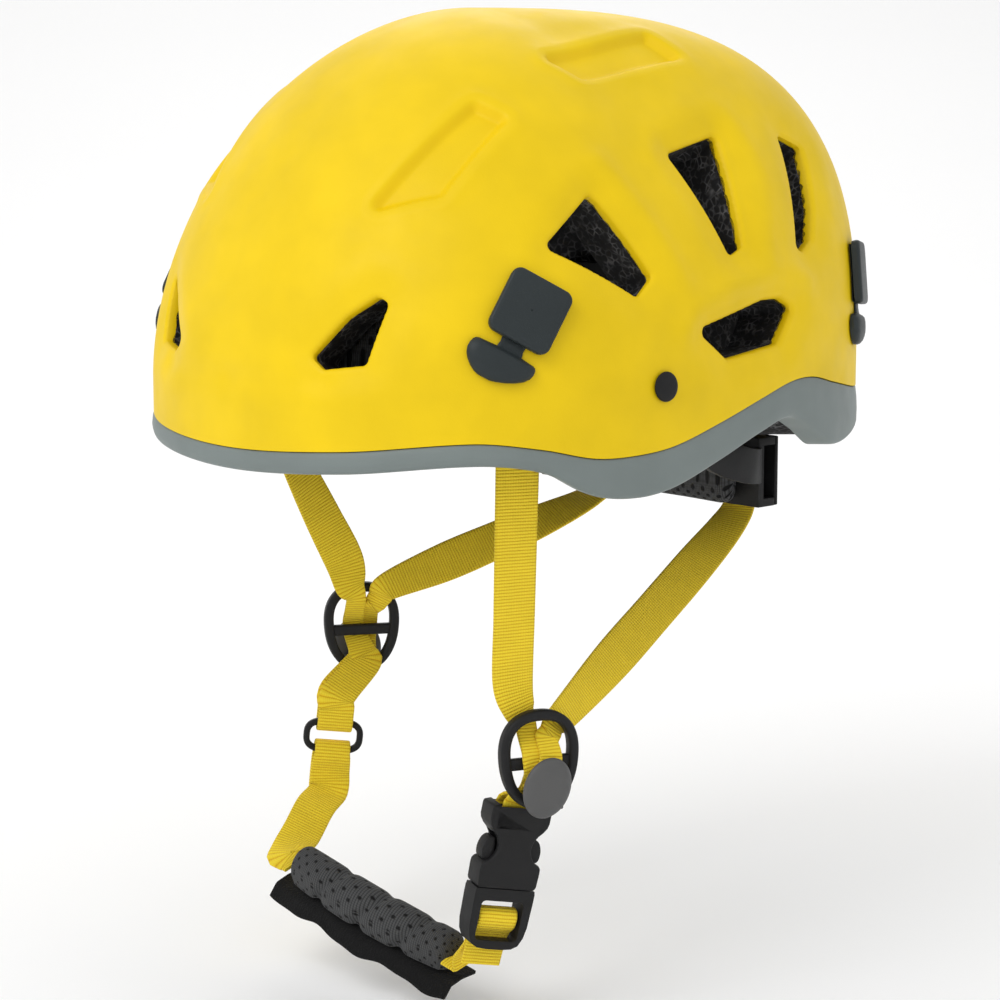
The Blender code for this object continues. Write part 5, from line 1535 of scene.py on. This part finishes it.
brow = wall_pad(-48, 48, -120 * MM, -70 * MM, 6.0 * MM, 11.4 * MM, (0.2, 0.4, 0.6, 0.8))
dressed(brow, "brow_pad", PAD_MESH, "helmet", "front_pad")
for side, sign in (("l", 1), ("r", -1)):
    pad = wall_pad(sign * 67, sign * 79, -97 * MM, -74 * MM, 1.4 * MM, 6.5 * MM)
    dressed(pad, "temple_pad_" + side, PAD_MESH, "helmet", "side_pad_" + side)


# %% Crown and nape pads
def crown_disc(u, v):
    """Round pad under the crown: (share of the radius, top or underside) from v."""
    turn = 2 * pi * u
    over = v < 0.5
    share = np.where(over, v / 0.5, (1 - v) / 0.5)
    edge = np.sqrt(np.clip(1 - share ** 6, 0, 1))
    reach = 38 * MM * share
    n = bulge(turn)
    drop = LINER[3] * (1 - (1 - (reach / plan_radius(LINER, turn)) ** n) ** (1 / n))
    roof = WIDEST_Z + LINER[3] - 1.4 * MM - drop
    middle = roof - 2.5 * MM
    tuft = 0.5 * MM * np.exp(-((reach - 24 * MM) / (1.6 * MM)) ** 2)
    under = np.maximum(middle - 2.5 * MM * edge + tuft, 0.0)
    return around(reach, turn, np.where(over, middle + 2.5 * MM * edge, under))


crown = shaped_grid(96, 48, crown_disc, uv_size=(0.24, 0.076))
dressed(crown, "crown_cushion", PAD_MESH, "helmet", "crown_pad")


def nape_roll(u, v):
    x = (2 * u - 1) * 50 * MM
    angle = 2 * pi * v
    ends = np.sqrt(1 - (1 - np.clip(np.minimum(u, 1 - u) / 0.06, 0, 1)) ** 2)
    deep = (6 + 4 * (x / (50 * MM)) ** 2) * MM
    tuck = 1 - 0.45 * np.exp(-((np.abs(x) - 17 * MM) / (1.6 * MM)) ** 2)
    out = np.sign(np.cos(angle)) * np.abs(np.cos(angle)) ** 0.7
    up = np.sign(np.sin(angle)) * np.abs(np.sin(angle)) ** 0.5
    y = 91.7 * MM - deep / 2 - deep / 2 * np.where(out > 0, out * tuck, out) * ends
    z = -140 * MM + 12 * MM * up * (0.6 + 0.4 * ends)
    return np.stack((x, y, z), axis=-1)


nape = shaped_grid(120, 40, nape_roll, uv_size=(0.1, 0.06))
dressed(nape, "nape_cushion", PAD_MESH, "nape_cradle", "nape_pad")

# %% [markdown]
# ## Headband, cradle and dial
# The remaining pieces sit inside or behind. Where the plain solid already has the right outline,
# `refined` copies it, merges its flat faces and rolls its edges over with a bevel.

# %% Refined copies
def refined(name, width, coat, segments=3, degrees=30):
    source = frame["nodes"][name]
    only(source)
    bpy.ops.object.duplicate()
    obj = bpy.context.active_object
    obj.parent = None
    obj.matrix_world = Matrix.Identity(4)
    for key in [k for k in obj.keys() if k.startswith("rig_")]:
        del obj[key]
    tidy_mesh(obj, 1e-5)
    bpy.ops.object.mode_set(mode="EDIT")
    bpy.ops.mesh.select_all(action="SELECT")
    bpy.ops.mesh.dissolve_limited(angle_limit=radians(4))
    bpy.ops.object.mode_set(mode="OBJECT")
    soften(obj, width, segments, degrees)
    return dressed(obj, name + "_fine", coat, BODY_OF_NODE[name], name)


for name, width in (("headband", 0.5), ("nape_cradle", 0.8), ("cradle_cover", 0.6), ("size_dial", 0.6),
                    ("dial_pinion", 0.3), ("rack_l", 0.3), ("rack_r", 0.3), ("temple_rivet_l", 0.4),
                    ("temple_rivet_r", 0.4), ("front_anchor_l", 0.4), ("front_anchor_r", 0.4),
                    ("rear_anchor_l", 0.4), ("rear_anchor_r", 0.4)):
    refined(name, width * MM, CRADLE_BLACK)

# %% Hangers
for side, sign in (("l", 1), ("r", -1)):
    stations = [(Vector((sign * px, 92 + py, -127 + pz)) * MM, (1, 0, 0))
                for px, py, pz in ((40, 3, 0.7), (41, 6, 14), (42, 8, 34))]
    hanger = strip(Route(stations), width=9 * MM, thick=1.2 * MM)
    dressed(hanger, "hanger_fine_" + side, CRADLE_BLACK, None, "cradle_hanger_" + side)
    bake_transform(hanger)

# %% [markdown]
# The finished look must fill the same space as the frame. The frame's size is printed.

# %% Finish
print("frame", [round(v, 4) for v in (*CAD_LOW, *CAD_HIGH)])
